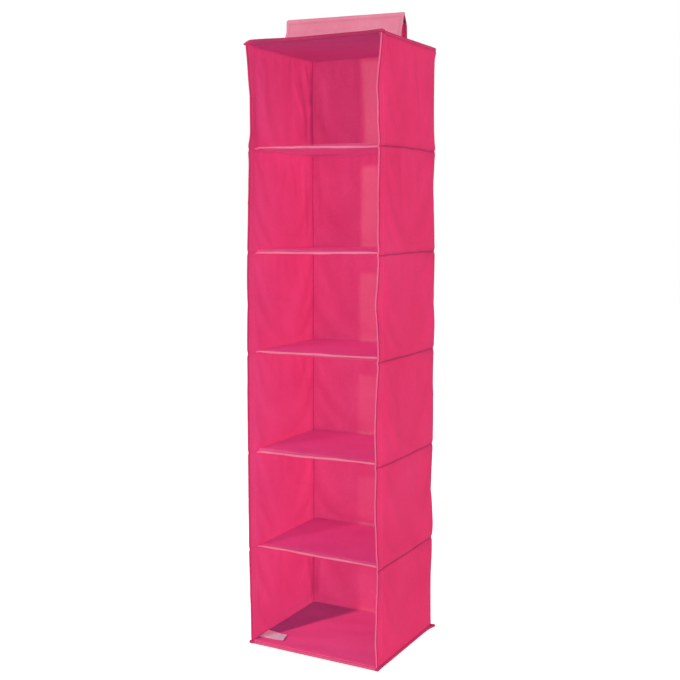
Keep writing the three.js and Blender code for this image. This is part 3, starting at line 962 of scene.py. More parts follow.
def seam_cord(k, outer, inner, normals):
    """The sewn line where a shelf's flange shows between two wall sections, dark with painted shade
    for the seam's groove.
    """
    line, normal = outer[-1].copy(), normals[-1].copy()
    line[:, 2] = SEAM[k] + seam_wave(ARC, k)
    normal[:, 2] = 0
    normal = unit(normal)
    middle = (outer[-1] + inner[-1]) / 2
    middle[:, 2] = line[:, 2]
    rng = np.random.default_rng(800 + k)
    tall = 0.85 + 0.2 * np.sin(ARC / 31 + 6 * rng.random())
    tall = tall + 0.15 * np.sin(ARC / 11 + 6 * rng.random())
    tall = np.maximum(tall + 0.55, 1.45)  # it always covers the joint line behind it
    # it crosses the front tapes on their outside
    i = np.arange(len(ARC))
    over = smooth((TAPE_COLS - 0.2 - np.minimum(i, len(ARC) - 1 - i)) / 0.6) * 0.8
    up = np.array([0, 0, 1.0])
    most = slice(1, -1)
    path = (line + normal * over[:, None] - up * 0.8)[most]
    out = normal[most]
    build = Build()
    sweep(build, oval(path + out * 0.16, out * 0.34, up * tall[most, None]))
    stitches(build, path + out * 0.48, out, length=3.2, pitch=4.4, width=0.6, lift=0.25)
    # the seam allowance runs on inside the front tapes, so that no gap opens where two meet
    for side in (-1, 1):
        cols = front_columns(side, TAPE_COLS + 1)
        forward = middle[cols[0]] - middle[cols[1]]
        forward[2] = 0
        run = np.concatenate([[middle[cols[0]] + unit(forward) * 1.9], middle[cols]])
        across = np.concatenate([[normal[cols[0]]], normal[cols]]) * -side
        square = [(-1, -1), (1, -1), (1, 1), (-1, 1)]
        rings = [run + across * (0.5 * u) + up * (1.5 * v) for u, v in square]
        sweep(build, np.stack(rings, 1), mat=2)
    build.finish(
        f"seam_cord_{k}", [SHADE_CORD, SEAM_THREAD, TAPE], f"shelf_{k}", sharp=60
    )


sheets = [wall_sheet(k) for k in range(1, N + 1)]
sheets = settle(sheets)
WALLS = {}  # each compartment's outer face, inner face and outward normals
for k, outer in enumerate(sheets, 1):
    outer = clamp_sheet(outer)
    normals = grid_normals(outer, xyz(COL_NX, COL_NY, 0))
    inner = outer - normals * CLOTH
    for row in (0, -1):
        inner[row, :, 2] = outer[row, :, 2]
    WALLS[k] = (outer, inner, normals)
    wall_panels(k, *WALLS[k])
    corner_cords(k, *WALLS[k])
    for name in SIDES:
        front_tape(k, name, *WALLS[k])
for k in range(1, N):
    seam_cord(k, *WALLS[k])

# ------------------------------------------------------------------ shelves
# How far each shelf's front hem lies above its middle plane at its left and right end.
HANG = {1: (0.5, -4.6), 2: (-3.6, 0.0), 3: (0.0, 3.0), 4: (-4.6, 0.0), 5: (0.0, -1.8)}
SEWN_STEPS = [0, 1.2, 2.4, 3.6, 4.8, 6.0, 7.5, 10]
FRONT_STEPS = [0, 0.7, 1.6, 3, 5, 8, 11]
SHELF_X, SHELF_BACK = WALL_X - 1.6, BACK_Y - 1.8  # the sewn edges
BEND_X, BEND_Y = 118, 100  # beyond these a shelf is stretched to meet the walls


def nose(k, x, y):
    """How far the hem's hang lifts a point of the shelf's front edge."""
    left, right = HANG[k]
    return smooth((-105.6 - y) / 2.6) * (left + (right - left) * smooth((x + 145) / 290))


def wall_reach(k, y, side):
    """Distance from the middle to a side wall's inner face at seam k."""
    edge = WALLS[k][0][-1][front_columns(side, BACK_FIRST - 6)]
    return np.interp(y, edge[:, 1], np.abs(edge[:, 0])) - CLOTH - 0.15


def back_reach(k, x):
    """Where the inner face of the back wall is at seam k."""
    edge = WALLS[k][0][-1][BACK_FIRST : BACK_LAST + 1]
    return np.interp(x, edge[:, 0], edge[:, 1]) - CLOTH - 0.15


def shelf_cloth(k):
    """The cover over a shelf's board, pinched down to the seam at its three sewn edges."""
    low, high = SHELF[k]
    centre, half = (low[2] + high[2]) / 2, (high[2] - low[2]) / 2
    sew = SEAM[k]

    def wander(arc, edge):
        # the edge follows the wall's seam line, tucked down behind the cord
        return seam_wave(arc, k) * decay(edge, 4) - 0.75 * decay(edge, 1.5)

    def swell(edge):
        return smooth((edge - 0.4) / 5.8)

    def upper(arc, edge):
        return sew + 0.45 + wander(arc, edge) + (centre + half - sew - 0.45) * swell(edge)

    xs = graded(-SHELF_X, SHELF_X, SEWN_STEPS, SEWN_STEPS, 7)
    ys = graded(low[1], SHELF_BACK, FRONT_STEPS, SEWN_STEPS, 7)
    Y, X = np.meshgrid(ys, xs, indexing="ij")
    from_side, from_back = SHELF_X - np.abs(X), SHELF_BACK - Y
    edge = np.minimum(from_side, from_back)
    arc = np.where(X < 0, side_arc(Y, -1), side_arc(Y, 1))
    arc = np.where(from_side < from_back, arc, ARC[BACK_FIRST] + (X + WALL_X))
    up = swell(edge)
    tuck = 0.42 * decay(np.clip(edge - 6, 0, None), 7)
    tuck = tuck * waves(arc, edge * 0, 200 + k, 9, 9, 26, lean=1)
    soft = smooth((edge - 6) / 30)
    top = upper(arc, edge) + soft * 0.45 * waves(X, Y, 220 + k, 8, 45, 150)
    top = top + up * tuck - 0.25 * soft
    under = sew - 0.45 + wander(arc, edge) - (sew - 0.45 - (centre - half)) * up
    under = under + soft * 0.4 * waves(X, Y, 240 + k, 8, 45, 150) + 0.3 * soft + 0.6 * up * tuck
    # the front edge is pressed thin under its tape
    behind = Y - low[1]
    thin = (1.25 * (1 - smooth(behind / 11)) + 0.8 * (1 - smooth(behind / 1.6))) * up
    lift = nose(k, X, Y)
    top = top - thin + lift
    under = under + thin + lift
    # stretch the sewn edges out to the walls
    reach = np.where(X < 0, wall_reach(k, Y, -1), wall_reach(k, Y, 1))
    reach = np.minimum(reach, SHELF_X)
    past = (np.abs(X) - BEND_X) * (reach - BEND_X) / (SHELF_X - BEND_X)
    X = np.where(np.abs(X) > BEND_X, np.sign(X) * (BEND_X + past), X)
    reach = np.minimum(back_reach(k, X), SHELF_BACK)
    past = (Y - BEND_Y) * (reach - BEND_Y) / (SHELF_BACK - BEND_Y)
    Y = np.where(Y > BEND_Y, BEND_Y + past, Y)
    # painted shade along the sewn edges, and a painted shadow towards the left rear corner, where
    # the left wall shades the shelf
    shading_paint = 0.10 * decay(edge, 5.0)
    shading_paint = shading_paint + 0.16 * bell(np.hypot(X + SHELF_X, (Y - SHELF_BACK) * 1.3), 62)
    build = Build()
    shell(build, xyz(X, Y, top), xyz(X, Y, under), crease=(shading_paint, shading_paint))
    # stitching that holds the flange, close beside the side walls
    inset = 1.9
    y = np.linspace(low[1] + 3, SHELF_BACK - inset, 50)
    for side in (-1, 1):
        x = side * (np.minimum(SHELF_X, wall_reach(k, y, side)) - inset)
        line = xyz(x, y, upper(side_arc(y, side), inset))
        stitches(build, line, (-side * 0.75, 0, 0.66), width=0.6, lift=0.25)
    build.finish(
        f"shelf_cloth_{k}", [FLAT_INNER, PINK_THREAD], f"shelf_{k}",
        replaces=f"shelf_{k}_cover",
    )


def shelf_front_tape(k):
    """A tape folded over the shelf's front edge, painted paler as a highlight where it faces the
    light.
    """
    low, high = SHELF[k]
    half = (high[2] - low[2]) / 2
    left, right = (wall_reach(k, -106.0, side) - 0.2 for side in (-1, 1))
    end = (left + right) / 2
    x = np.linspace(-end, end, 97)
    shift = (right - left) / 2
    rng = np.random.default_rng(300 + k)

    def ripple(shortest, spread):
        length = shortest + spread * rng.random()
        return np.sin(2 * math.pi * x / length + 6.3 * rng.random())

    wave = 0.5 * ripple(150, 60) + 0.3 * ripple(52, 20)
    fat = half - 1.25 + 0.25 * ripple(80, 50)
    fat = fat + 0.45 * bell(x - 20 * rng.standard_normal(), 60)
    open_part = smooth((end - np.abs(x)) / 14)  # 0 at the ends, where the tape closes up
    fat = 0.9 + (fat - 0.9) * open_part
    depth = 4.6 + 0.3 * np.sin(x / 23 + rng.random() * 6)
    front = low[1] - 0.95 + 0.5 * ripple(120, 60) * open_part
    centre = (low[2] + high[2]) / 2 + wave * 0.55 * open_part - 0.9 * (1 - open_part)
    leaf = depth * (0.35 + 0.65 * open_part)
    thick = 0.6
    rear = fat + 1.15 * smooth((leaf - 1) / 9)  # the shelf thickens behind its pressed edge
    # distance behind the tape's front and height over its middle: over, round, under, back inside
    outside = [
        (leaf, rear + thick * 0.5), (leaf - 0.6, rear + thick), (2.4, fat + thick),
        (1.0, fat + 0.25), (0.2, fat * 0.55),
    ]
    inside = [(0.9, fat * 0.5), (2.2, fat - 0.1), (leaf, rear - 0.15)]
    profile = outside + [(0, 0)] + [(behind, -up) for behind, up in outside[::-1]]
    profile += [(behind, -up) for behind, up in inside[::-1]] + inside
    rings = []
    for behind, up in profile:
        y = front + behind
        rings.append(xyz(x + shift, y, centre + up + nose(k, x, y)))
    build = Build()
    sweep(build, np.stack(rings, 1), edge_mats=dict.fromkeys((0, 1, 2, 7, 8, 9), 2))
    over = fat + 0.5 + 0.6 * smooth((depth - 1) / 9) * 1.15
    for sign in (1, -1):
        line = xyz(x + shift, front + depth - 2.0, centre + sign * over)[6:-6]
        stitches(build, line, (0, 0, sign), width=0.65, lift=0.28)
    build.finish(
        f"shelf_front_tape_{k}", [HEM, PALE_THREAD, HEM_LEAF], f"shelf_{k}"
    )


for k in range(1, N):
    shelf_cloth(k)
    shelf_front_tape(k)

# ------------------------------------------------------------------ top and bottom panels
EDGE_X, EDGE_Y = WALL_X + 1.5, BACK_Y + 1.5  # the edge tape lies close round the walls
CORNERS = [(-1, -1), (1, -1), (1, 1), (-1, 1)]  # front left, front right, rear right, rear left
EDGE_RADIUS = 3.4
PANEL_STEPS = [0, 0.8, 2.0, 4, 8, 13]
# Each corner's push outwards in x and y, and how far along the edge it reaches.
TOP_EARS = [(3.6, 2.4, 7), (7.5, 4.0, 16), (-2.8, -2.8, 16), (3.0, 2.4, 9)]
BOTTOM_EARS = [(4.5, 3.0, 7), (1.5, 1.5, 8), (7.5, 4.6, 12), (3.2, 2.6, 8)]


def perimeter(ears):
    """Stations round a panel's edge, with the corners pushed out and without."""
    radius = EDGE_RADIUS
    arcs = []
    for cx, cy in CORNERS:
        start = math.atan2(cy, cx) - math.pi / 4
        arcs.append(np.array([
            (
                cx * (EDGE_X - radius) + radius * math.cos(a),
                cy * (EDGE_Y - radius) + radius * math.sin(a),
            )
            for a in np.linspace(start, start + math.pi / 2, 8)
        ]))
    parts = []
    for arc, following in zip(arcs, arcs[1:] + arcs[:1]):
        start, end = arc[-1], following[0]
        share = np.linspace(0, 1, int(np.linalg.norm(end - start) / 5) + 1)[1:-1, None]
        share = 0.6 * share + 0.4 * (1 - np.cos(math.pi * share)) / 2
        parts += [arc, start * (1 - share) + end * share]
    base = np.concatenate(parts)
    pushed = base.copy()
    for (cx, cy), (ear_x, ear_y, reach) in zip(CORNERS, ears):
        distance = np.hypot(pushed[:, 0] - cx * EDGE_X, pushed[:, 1] - cy * EDGE_Y)
        near = np.exp(-((distance / reach) ** 1.3))
        pushed[:, 0] += cx * ear_x * near
        pushed[:, 1] += cy * ear_y * near
    return pushed, base


def edge_line(side, inset, z, trim=0.0):
    """A straight line along one side of a panel, from corner number side to the next."""
    size = np.array([EDGE_X - inset, EDGE_Y - inset])
    start, end = size * CORNERS[side], size * CORNERS[(side + 1) % 4]
    share = np.linspace(trim, 1 - trim, 60)[:, None]
    line = start * (1 - share) + end * share
    return xyz(line[:, 0], line[:, 1], z)


def edge_tape(body, sign, inner_z, outer_z, ears, seed, z_front, z_side):
    """The tape round a panel's edge. sign is 1 for the top panel and -1 for the bottom one;
    inner is the side facing the compartment. There the tape's edge lies at z_front along the
    open front and at z_side along the walls."""
    is_top = sign > 0
    pushed, base = perimeter(ears)
    travelled = arc_length(pushed)
    closed = travelled[-1] + np.linalg.norm(pushed[0] - pushed[-1])
    rng = np.random.default_rng(seed)
    wobble = sum(
        size * np.sin(2 * math.pi * turns * travelled / closed + 6.3 * rng.random())
        for turns, size in ((3, 0.35), (7, 0.3), (13, 0.25), (29, 0.12))
    )
    pushed = pushed + unit(pushed) * (0.3 * wobble)[:, None]
    base_x, base_y = base.T
    on_front = base_y < -EDGE_Y + 1.5
    front = on_front & (np.abs(base_x) < EDGE_X - 7)
    # the lip on the side facing the compartment is wide only along the open front
    lip = np.where(front, 12.0, EDGE_X - WALL_X - 0.12)
    low = z_side + (z_front - z_side) * smooth((EDGE_X - 6 - np.abs(base_x)) / 10) * on_front
    wide = 12.0 + 0.5 * wobble

    def ring_at(inset, z):
        inset = inset + 0 * wobble
        inner = np.maximum(inset, EDGE_RADIUS)
        limit = np.stack([EDGE_X - inner, EDGE_Y - inner], 1)
        flat = np.clip(base, -limit, limit)
        share = (inset / EDGE_RADIUS)[:, None]
        x, y = np.where(share < 1, pushed + (flat - pushed) * share, flat).T
        if is_top:
            droop = 5.5 * bell(np.hypot(base_x + EDGE_X, base_y + EDGE_Y), 7)
            z = z + (rim_curl(base_x, base_y) - droop) * (1 - smooth(inset / 9.5))
        return xyz(x, y, z)

    crown = outer_z + 0.12 * wobble * is_top
    at_8 = np.minimum(8.0, lip)
    # (inset from the edge, height): over the outer face, round the edge, in under, and back
    profile = [
        (wide, crown - sign * 0.35),
        (wide - 0.7, crown),
        (3.0, crown),
        (1.0, outer_z - sign * 0.45),
        (0.15, outer_z - sign * 1.5),
        (0.0, (outer_z + low) / 2),
        (0.15, low + sign * 1.0),
        (np.minimum(0.8, lip), low + sign * 0.25),
        (np.minimum(1.3, lip), low),
        (at_8, np.where(front, inner_z - sign * 0.6, low)),
        (lip, np.where(front, inner_z - sign * 0.6, low)),
        (lip, np.where(front, inner_z - sign * 0.02, low + sign * 0.4)),
        (at_8, np.where(front, inner_z - sign * 0.02, low + sign * 0.6)),
        (np.minimum(2.4, lip), np.where(front, low + sign * 0.6, low + sign * 0.9)),
        (1.3, outer_z - sign * 1.3),
        (3.0, outer_z - sign * 0.7),
        (wide, outer_z - sign * 0.7),
    ]
    rings = np.stack([ring_at(*point) for point in profile], 1)
    build = Build()
    # the lip inside the compartment takes the darker TOP_LIP, painted shade
    edge_mats = dict.fromkeys(range(7, 11), 3) if is_top else None
    sweep(build, rings, closed_path=True, edge_mats=edge_mats)
    if is_top:
        for side in range(4):
            stitches(build, edge_line(side, 9.6, outer_z), (0, 0, sign))
    else:  # the fold along the open front is paler
        # this paler fold is a painted highlight
        for i in np.nonzero(front)[0]:
            first = i * len(profile)
            build.mats[first + 3 : first + 7] = [2] * 4
    # stitching along the front inside lip, and round the walls just inside the tape's edge
    stitches(build, edge_line(0, 9.8, inner_z - sign * 0.6, 0.04), (0, 0, -sign))
    for side, normal in ((1, (1, 0, 0)), (2, (0, 1, 0)), (3, (-1, 0, 0))):
        line = edge_line(side, 0.0, z_side + sign * 2.0, 0.06)
        apart = pushed[None] - line[:, None, :2]
        line[:, :2] = pushed[np.argmin(np.hypot(apart[..., 0], apart[..., 1]), axis=1)]
        stitches(build, line, normal, width=0.7, lift=0.3)
    build.finish(
        f"{body}_edge_tape", [EDGE_TAPE, PINK_THREAD, FRONT_FOLD, TOP_LIP], body,
        replaces=f"{body}_edge_binding",
    )


def panel_cover(body, low_z, high_z, seed):
    """The cloth over a panel's board. Its outer face lies flatter than its inner one."""
    is_top = body == "top"
    end_x, end_y = WALL_X - CLOTH - 0.5, BACK_Y - CLOTH - 0.5
    xs = graded(-end_x, end_x, PANEL_STEPS, PANEL_STEPS, 6)
    ys = graded(-end_y, end_y, PANEL_STEPS, PANEL_STEPS, 6)
    Y, X = np.meshgrid(ys, xs, indexing="ij")
    # rounded corners, so that a corner of the tape may tuck in
    past_x, past_y = np.abs(X) - (end_x - 6), np.abs(Y) - (end_y - 6)
    most = np.maximum(past_x, past_y)
    far = np.hypot(np.maximum(past_x, 0), np.maximum(past_y, 0))
    in_corner = (past_x > 0) & (past_y > 0) & (far > most)
    pull = np.where(in_corner, most / np.maximum(far, 1e-9), 1.0)
    X = np.where(past_x > 0, np.sign(X) * (end_x - 6 + past_x * pull), X)
    Y = np.where(past_y > 0, np.sign(Y) * (end_y - 6 + past_y * pull), Y)
    edge = np.minimum(end_x - np.abs(X), end_y - np.abs(Y))
    middle = smooth((edge - 8) / 22)
    pucker = decay(np.clip(edge - 9, 0, None), 9) * (edge > 7)
    pucker = pucker * waves(np.arctan2(Y, X) * 140, edge * 0.1, seed + 2, 9, 9, 26, lean=0.9)
    swell_1, swell_2 = (waves(X, Y, seed + i, 9, 50, 170) for i in (0, 1))
    rough = (0.55 * swell_1 * middle + 0.35 * pucker) * (0.25 if is_top else 1)
    top = high_z - 0.15 * (1 - smooth(edge / 3)) + rough
    rough = (0.5 * swell_2 * middle + 0.25 * pucker) * (1 if is_top else 0.3)
    low = np.maximum(low_z + rough, low_z - 0.5 if is_top else 0.12)
    build = Build()
    if is_top:
        # pressed thin along the open front, with a curled rim
        low = low + 3.4 * (1 - smooth((Y + end_y) / 8))
        lift = rim_curl(X, Y) * (1 - smooth((edge + 2.7) / 9.5))
        shell(build, xyz(X, Y, top + lift), xyz(X, Y, low + lift), mats=(0, 1, 0))
    else:
        # painted shade in a dark rim along the walls, with a paler line of painted highlight just in
        # front of the back wall
        pale = 0.30 * bell(end_y - Y - 3.2, 1.5) * smooth((X + 100) / 50)
        rim = 0.08 * decay(edge, 6) - pale
        shell(build, xyz(X, Y, top), xyz(X, Y, low), mats=(1, 0, 1), crease=(rim, 0 * rim))
    # the inner face takes a recoloured copy, painted for the interior's shade
    inner_painted_copy = CEILING if is_top else FLAT_INNER
    build.finish(
        f"{body}_panel_cloth", [FLAT_CLOTH, inner_painted_copy], body, f"{body}_cover"
    )


edge_tape(
    "top", 1, inner_z=TOP_LOW, outer_z=TOP_HIGH + 0.8, ears=TOP_EARS, seed=410,
    z_front=TOP_LOW + 5.4, z_side=TOP_LOW + 1.8,
)
panel_cover("top", TOP_LOW, TOP_HIGH, seed=420)
edge_tape(
    "bottom", -1, inner_z=BOTTOM_HIGH, outer_z=BOTTOM_LOW, ears=BOTTOM_EARS, seed=430,
    z_front=BOTTOM_HIGH - 0.4, z_side=BOTTOM_HIGH - 0.2,
)
panel_cover("bottom", BOTTOM_LOW + 0.75, BOTTOM_HIGH, seed=440)


def bottom_hem():
    """The bottom cover's own cloth, turned over the tape along the open front."""
    xs = np.linspace(-EDGE_X + 5, EDGE_X - 5, 90)
    X, share = np.meshgrid(xs, np.linspace(0, 1, 9))
    full = smooth((EDGE_X - 5 - np.abs(X)) / 6)
    Y = -EDGE_Y + 1.6 + (10.8 + 0.4 * np.sin(X / 31)) * share
    round_over = np.sin(math.pi * np.clip(share * 0.9 + 0.1, 0, 1)) ** 0.5
    top = BOTTOM_HIGH + 0.6 + 0.75 * round_over * (0.4 + 0.6 * full)
    top = top + 0.15 * waves(X, Y, 455, 8, 12, 50)
    # painted shade along the hem's rear edge, where it lies over the panel
    shading_paint = 0.22 * smooth((share - 0.86) / 0.14)
    build = Build()
    shell(build, xyz(X, Y, top), xyz(X, Y, BOTTOM_HIGH - 0.1), crease=(shading_paint, 0 * shading_paint))
    line = xyz(xs, -EDGE_Y + 9.4, BOTTOM_HIGH + 1.2)[2:-2]
    stitches(build, line, (0, 0, 1), width=0.65, lift=0.28)
    build.finish("bottom_hem_cloth", [FLAT_INNER, PINK_THREAD], "bottom")


bottom_hem()

# ------------------------------------------------------------------ the hanging strap
# Side view of each flap's outer face, from its foot up: (y, height above the top panel).
FRONT_SIDE = [
    (-12.5, 0.6), (-12.5, 7), (-12.4, 14), (-11.4, 20), (-9, 26), (-7.6, 28.6), (-7, 32),
    (-6.9, 40), (-7.0, 50),
]
REAR_SIDE = [
    (13.5, 0.6), (13.5, 10), (13.45, 20), (12.6, 25), (10.4, 30.5), (7.6, 35), (4.4, 39),
    (1.2, 42.8), (-1.4, 46.0), (-1.9, 49),
]
HEM_INSET = 7.0  # from a flap's free edges to its stitch line
STRIP_THICK = 1.35


def spline(points, count):
    """Catmull-Rom curve through the points, evenly spaced, and its length."""
    points = np.array(points, float)
    ends = 2 * points[0] - points[1], 2 * points[-1] - points[-2]
    points = np.vstack([ends[0], points, ends[1]])
    curve = []
    for i in range(1, len(points) - 2):
        before, start, end, after = points[i - 1 : i + 3]
        for t in np.linspace(0, 1, 24, endpoint=False):
            linear = (end - before) * t
            square = (2 * before - 5 * start + 4 * end - after) * t * t
            cube = (3 * start - before - 3 * end + after) * t**3
            curve.append(0.5 * (2 * start + linear + square + cube))
    curve = np.array(curve + [points[-2]])
    travelled = arc_length(curve)
    at = np.linspace(0, travelled[-1], count)
    return [np.interp(at, travelled, curve[:, i]) for i in (0, 1)], travelled[-1]


def hem_line(surface, normals, length):
    """Points and normals HEM_INSET inside a flap's three free edges."""
    side, top = FLAP_X - HEM_INSET, length - HEM_INSET
    path = [(-side, up) for up in np.linspace(3, top, 16)]
    path += [(x, top) for x in np.linspace(-side, side, 90)[1:-1]]
    path += [(side, up) for up in np.linspace(top, 3, 16)]
    both = np.concatenate([surface, normals], 2)
    found = []
    for x, up in path:
        at = up / length * (len(both) - 1)
        i = min(int(at), len(both) - 2)
        row = both[i] * (1 - (at - i)) + both[i + 1] * (at - i)
        found.append([np.interp(x, row[:, 0], row[:, j]) for j in range(6)])
    found = np.array(found)
    return found[:, :3], found[:, 3:]


def hanging_flap(end, side_view, facing, seed, round_left, round_right, flare):
    """One flap of the strap. facing is the y sign of its outer face; round_ gives the radius of
    its two upper corners, and flare widens its right side towards the top."""
    (line_y, line_z), length = spline(side_view, 34)
    up = np.linspace(0, length, 34)[:, None]
    u = np.linspace(-1, 1, 96)
    u = np.sign(u) * (0.75 * np.abs(u) + 0.25 * (1 - (1 - np.abs(u)) ** 2))

    def half_width(radius):
        over = np.maximum(0, up - length + radius)
        return FLAP_X - radius + np.sqrt(np.maximum(0, radius**2 - over**2))

    bow = 0.9 * np.sin(math.pi * np.minimum(1, up / length))
    right = half_width(round_right) - bow + flare * smooth(1 + (up - length) / 16)
    X = np.where(u < 0, u * (half_width(round_left) - bow), u * right)
    outer = xyz(X, line_y[:, None], line_z[:, None] + TOP_HIGH)
    foot = outer[0].copy()
    toward = np.array([0, float(facing), 0.35 * (facing > 0)])
    normals = grid_normals(outer, toward)
    free = smooth(up / 14)
    edge = np.minimum(FLAP_X - np.abs(X), length - up)
    wavy = 0.5 * waves(X, up * 0.4, seed, 8, 60, 190, lean=0.6)
    wavy = free * (wavy + 0.16 * waves(X, up, seed + 1, 9, 14, 40))
    # the hems along the sides and top are folded double, and their stitch line draws them in
    hem = smooth((8.5 - edge) / 0.9)
    drawn = bell(edge - HEM_INSET, 1.0)
    pucker = 0.22 * waves(X + up, edge, seed + 2, 9, 7, 17)
    pucker = pucker * decay(np.abs(edge - HEM_INSET), 4)
    outer = outer + normals * (wavy + 0.28 * hem - 0.28 * drawn + pucker * free)[..., None]
    outer[0] = foot
    # pulled up, more at its left end, and to the right
    share = up / length
    outer[..., 2] += share * np.interp(X, [-FLAP_X, FLAP_X], [9.5, 2.8])
    outer[..., 0] += 1.6 + 2.4 * share
    normals = grid_normals(outer, toward)
    inner = outer - normals * (1.0 + 0.35 * hem)[..., None]
    # painted shade along the hems' stitch lines and the flaps' very edges, and painted light over
    # the raised hems between
    shading_paint = 0.16 * bell(edge - 7.2, 1.5) + 0.30 * smooth((1.3 - edge) / 1.3) * smooth(up / 6)
    shading_paint = shading_paint - 0.06 * smooth((6.5 - edge) / 2)
    build = Build()
    shell(build, outer, inner, mats=(0, 2, 2), crease=(shading_paint, shading_paint))
    for surface, sign in ((outer, 1), (inner, -1)):
        line, normal = hem_line(surface, normals * sign, length)
        stitches(build, line, normal, length=3.0, pitch=4.4, width=0.8)
    build.finish(
        f"{end}_strap_cloth", [STRAP, PALE_THREAD, STRAP_INNER], f"{end}_flap",
        replaces=f"{end}_hanging_flap",
    )


def strap_foot(end, start_y, end_y, seed):
    """The sewn-down foot of a flap."""
    xs = np.linspace(-FLAP_X + 1, FLAP_X - 1, 90)
    X, share = np.meshgrid(xs, np.linspace(0, 1, 7))
    Y = start_y + (end_y - start_y) * share
    thick = 0.85 * (1 - 0.5 * smooth((share - 0.8) / 0.2)) + 0.12 * waves(X, Y, seed, 8, 12, 40)
    build = Build()
    shell(build, xyz(X, Y, TOP_HIGH + 0.05 + thick), xyz(X, Y, TOP_HIGH - 0.25))
    for part in (0.3, 0.75):
        line = xyz(xs, start_y + (end_y - start_y) * part, TOP_HIGH + 0.9)
        stitches(build, line, (0, 0, 1), length=3.0, pitch=4.2, width=0.8)
    build.finish(f"strap_foot_{end}", [STRAP, PALE_THREAD], "top")


def closure_strip(kind, body, material, start, end, normal, half_width, seed, shift=0.0):
    """A closure strip: thin woven tape with a nap of hooks or loops, from start to end in (y, z)."""
    fuzzy = kind == "loop"
    start, end = np.array([shift, *start]), np.array([shift, *end])
    normal = np.array([0, *normal])
    right = np.array([1.0, 0, 0])
    length = np.linalg.norm(end - start)
    along = (end - start) / length
    U, V = np.meshgrid(np.linspace(-half_width, half_width, 90), np.linspace(0, 1, 10))
    edge = np.minimum(np.minimum(half_width - np.abs(U), V * length), (1 - V) * length)
    top = STRIP_THICK - 0.45 * (1 - smooth(edge / 1.3)) + 0.08 * waves(U, V * 15, seed, 8, 12, 40)
    under = start * (1 - V[..., None]) + end * V[..., None] + right * U[..., None]
    build = Build()
    shell(build, under + normal * top[..., None], under)
    # the nap: small four-sided spikes
    rng = np.random.default_rng(seed)
    pitch_x, pitch_y = 2.6, 1.7
    verts = []
    faces = []
    for i in range(int((2 * half_width - 5) / pitch_x) + 1):
        for j in range(int((length - 3.0) / pitch_y) + 1):
            x = 2.5 - half_width + i * pitch_x
            up = 1.5 + j * pitch_y
            size, height, lean = 0.42, 0.45, along * 0.25
            if fuzzy:
                x += 0.35 * rng.standard_normal()
                up += 0.25 * rng.standard_normal()
                size, height = 0.5 + 0.15 * rng.random(), 0.4
                lean = (right * rng.standard_normal() + along * rng.standard_normal()) * 0.3
            base = start + right * x + along * up + normal * (STRIP_THICK - 0.08)
            n = len(verts)
            verts += [base + (right * u + along * v) * size for u, v in CORNERS]
            verts.append(base + normal * height + lean)
            faces += [(n + 1, n, n + 4), (n + 2, n + 1, n + 4), (n + 3, n + 2, n + 4)]
            faces += [(n, n + 3, n + 4), (n, n + 1, n + 2, n + 3)]
    build.add(verts, faces)
    build.finish(
        f"{kind}_tape", [material], body, replaces=f"{kind}_strip", sharp=60
    )


hook_low, hook_high = box("hook_strip")
hanging_flap("front", FRONT_SIDE, -1, seed=510, round_left=5.0, round_right=1.6, flare=1.6)
hanging_flap("rear", REAR_SIDE, 1, seed=530, round_left=6.0, round_right=5.0, flare=0.0)
strap_foot("front", -12.3, -4.4, seed=550)
strap_foot("rear", 13.3, 5.4, seed=560)
hook_y = hook_low[1] - 0.25
closure_strip(
    "hook", "front_flap", HOOKS, (hook_y, hook_low[2]), (hook_y, hook_high[2]),
    normal=(1.0, 0.0), half_width=hook_high[0], seed=610,
)
# the loop strip lies along the sloping part of the rear flap, under its inner face
slope_start, slope_end = np.array(REAR_SIDE[5]), np.array(REAR_SIDE[7])
slope = unit(slope_end - slope_start)
slope_normal = np.array((-slope[1], slope[0]))
loop_ends = [
    slope_start + slope * at + slope_normal * STRIP_THICK + (0, TOP_HIGH) for at in (0.6, 9.4)
]
closure_strip(
    "loop", "rear_flap", LOOPS, *loop_ends, normal=slope_normal,
    half_width=FLAP_X - 3.0, seed=620, shift=5.0,
)


# ------------------------------------------------------------------ the care label, left blank
def care_label():
    (x0, y0, _), (x1, y1, _) = box("care_label")
    rear_left, rear_right = np.array((x0 + 0.4, y1 + 4.0)), np.array((x1 - 0.8, y1 - 3.0))
    front_left, front_right = np.array((x0 + 2.2, y0 - 2.0)), np.array((x1 + 7.0, y0 - 0.5))
    U, V = np.meshgrid(np.linspace(0, 1, 36), np.linspace(0, 1, 22))
    u, v = U[..., None], V[..., None]
    rear = (1 - u) * (1 - v) * rear_left + u * (1 - v) * rear_right
    place = rear + u * v * front_right + (1 - u) * v * front_left
    # its right end curls up
    lift = 0.45 + 1.2 * smooth((U - 0.55) / 0.45) * (0.6 + 0.4 * V)
    lift = lift + 0.35 * np.sin(U * 7 + V * 2) * smooth(U / 0.3)
    lift = np.clip(lift + 0.25 * waves(U * 50, V * 30, 640, 6, 20, 60), 0.3, 2.7)
    top, under = (
        xyz(place[..., 0], place[..., 1], BOTTOM_HIGH + base + lift) for base in (0.55, 0.15)
    )
    build = Build()
    shell(build, top, under)
    stitches(
        build, top[2:-2, 1], (0, 0, 1), length=2.4, pitch=3.4, width=0.55, lift=0.2, margin=1
    )
    build.finish(
        "care_label_blank", [SATIN, PALE_THREAD], "bottom",
        replaces="care_label", sharp=60,
    )


care_label()

# the boards inside the panels keep their frame shape
for name in ["top_board", "bottom_board"] + [f"shelf_{k}_board" for k in range(1, N)]:
    board = frame["nodes"][name].data
    board.materials.clear()
    board.materials.append(CARD)

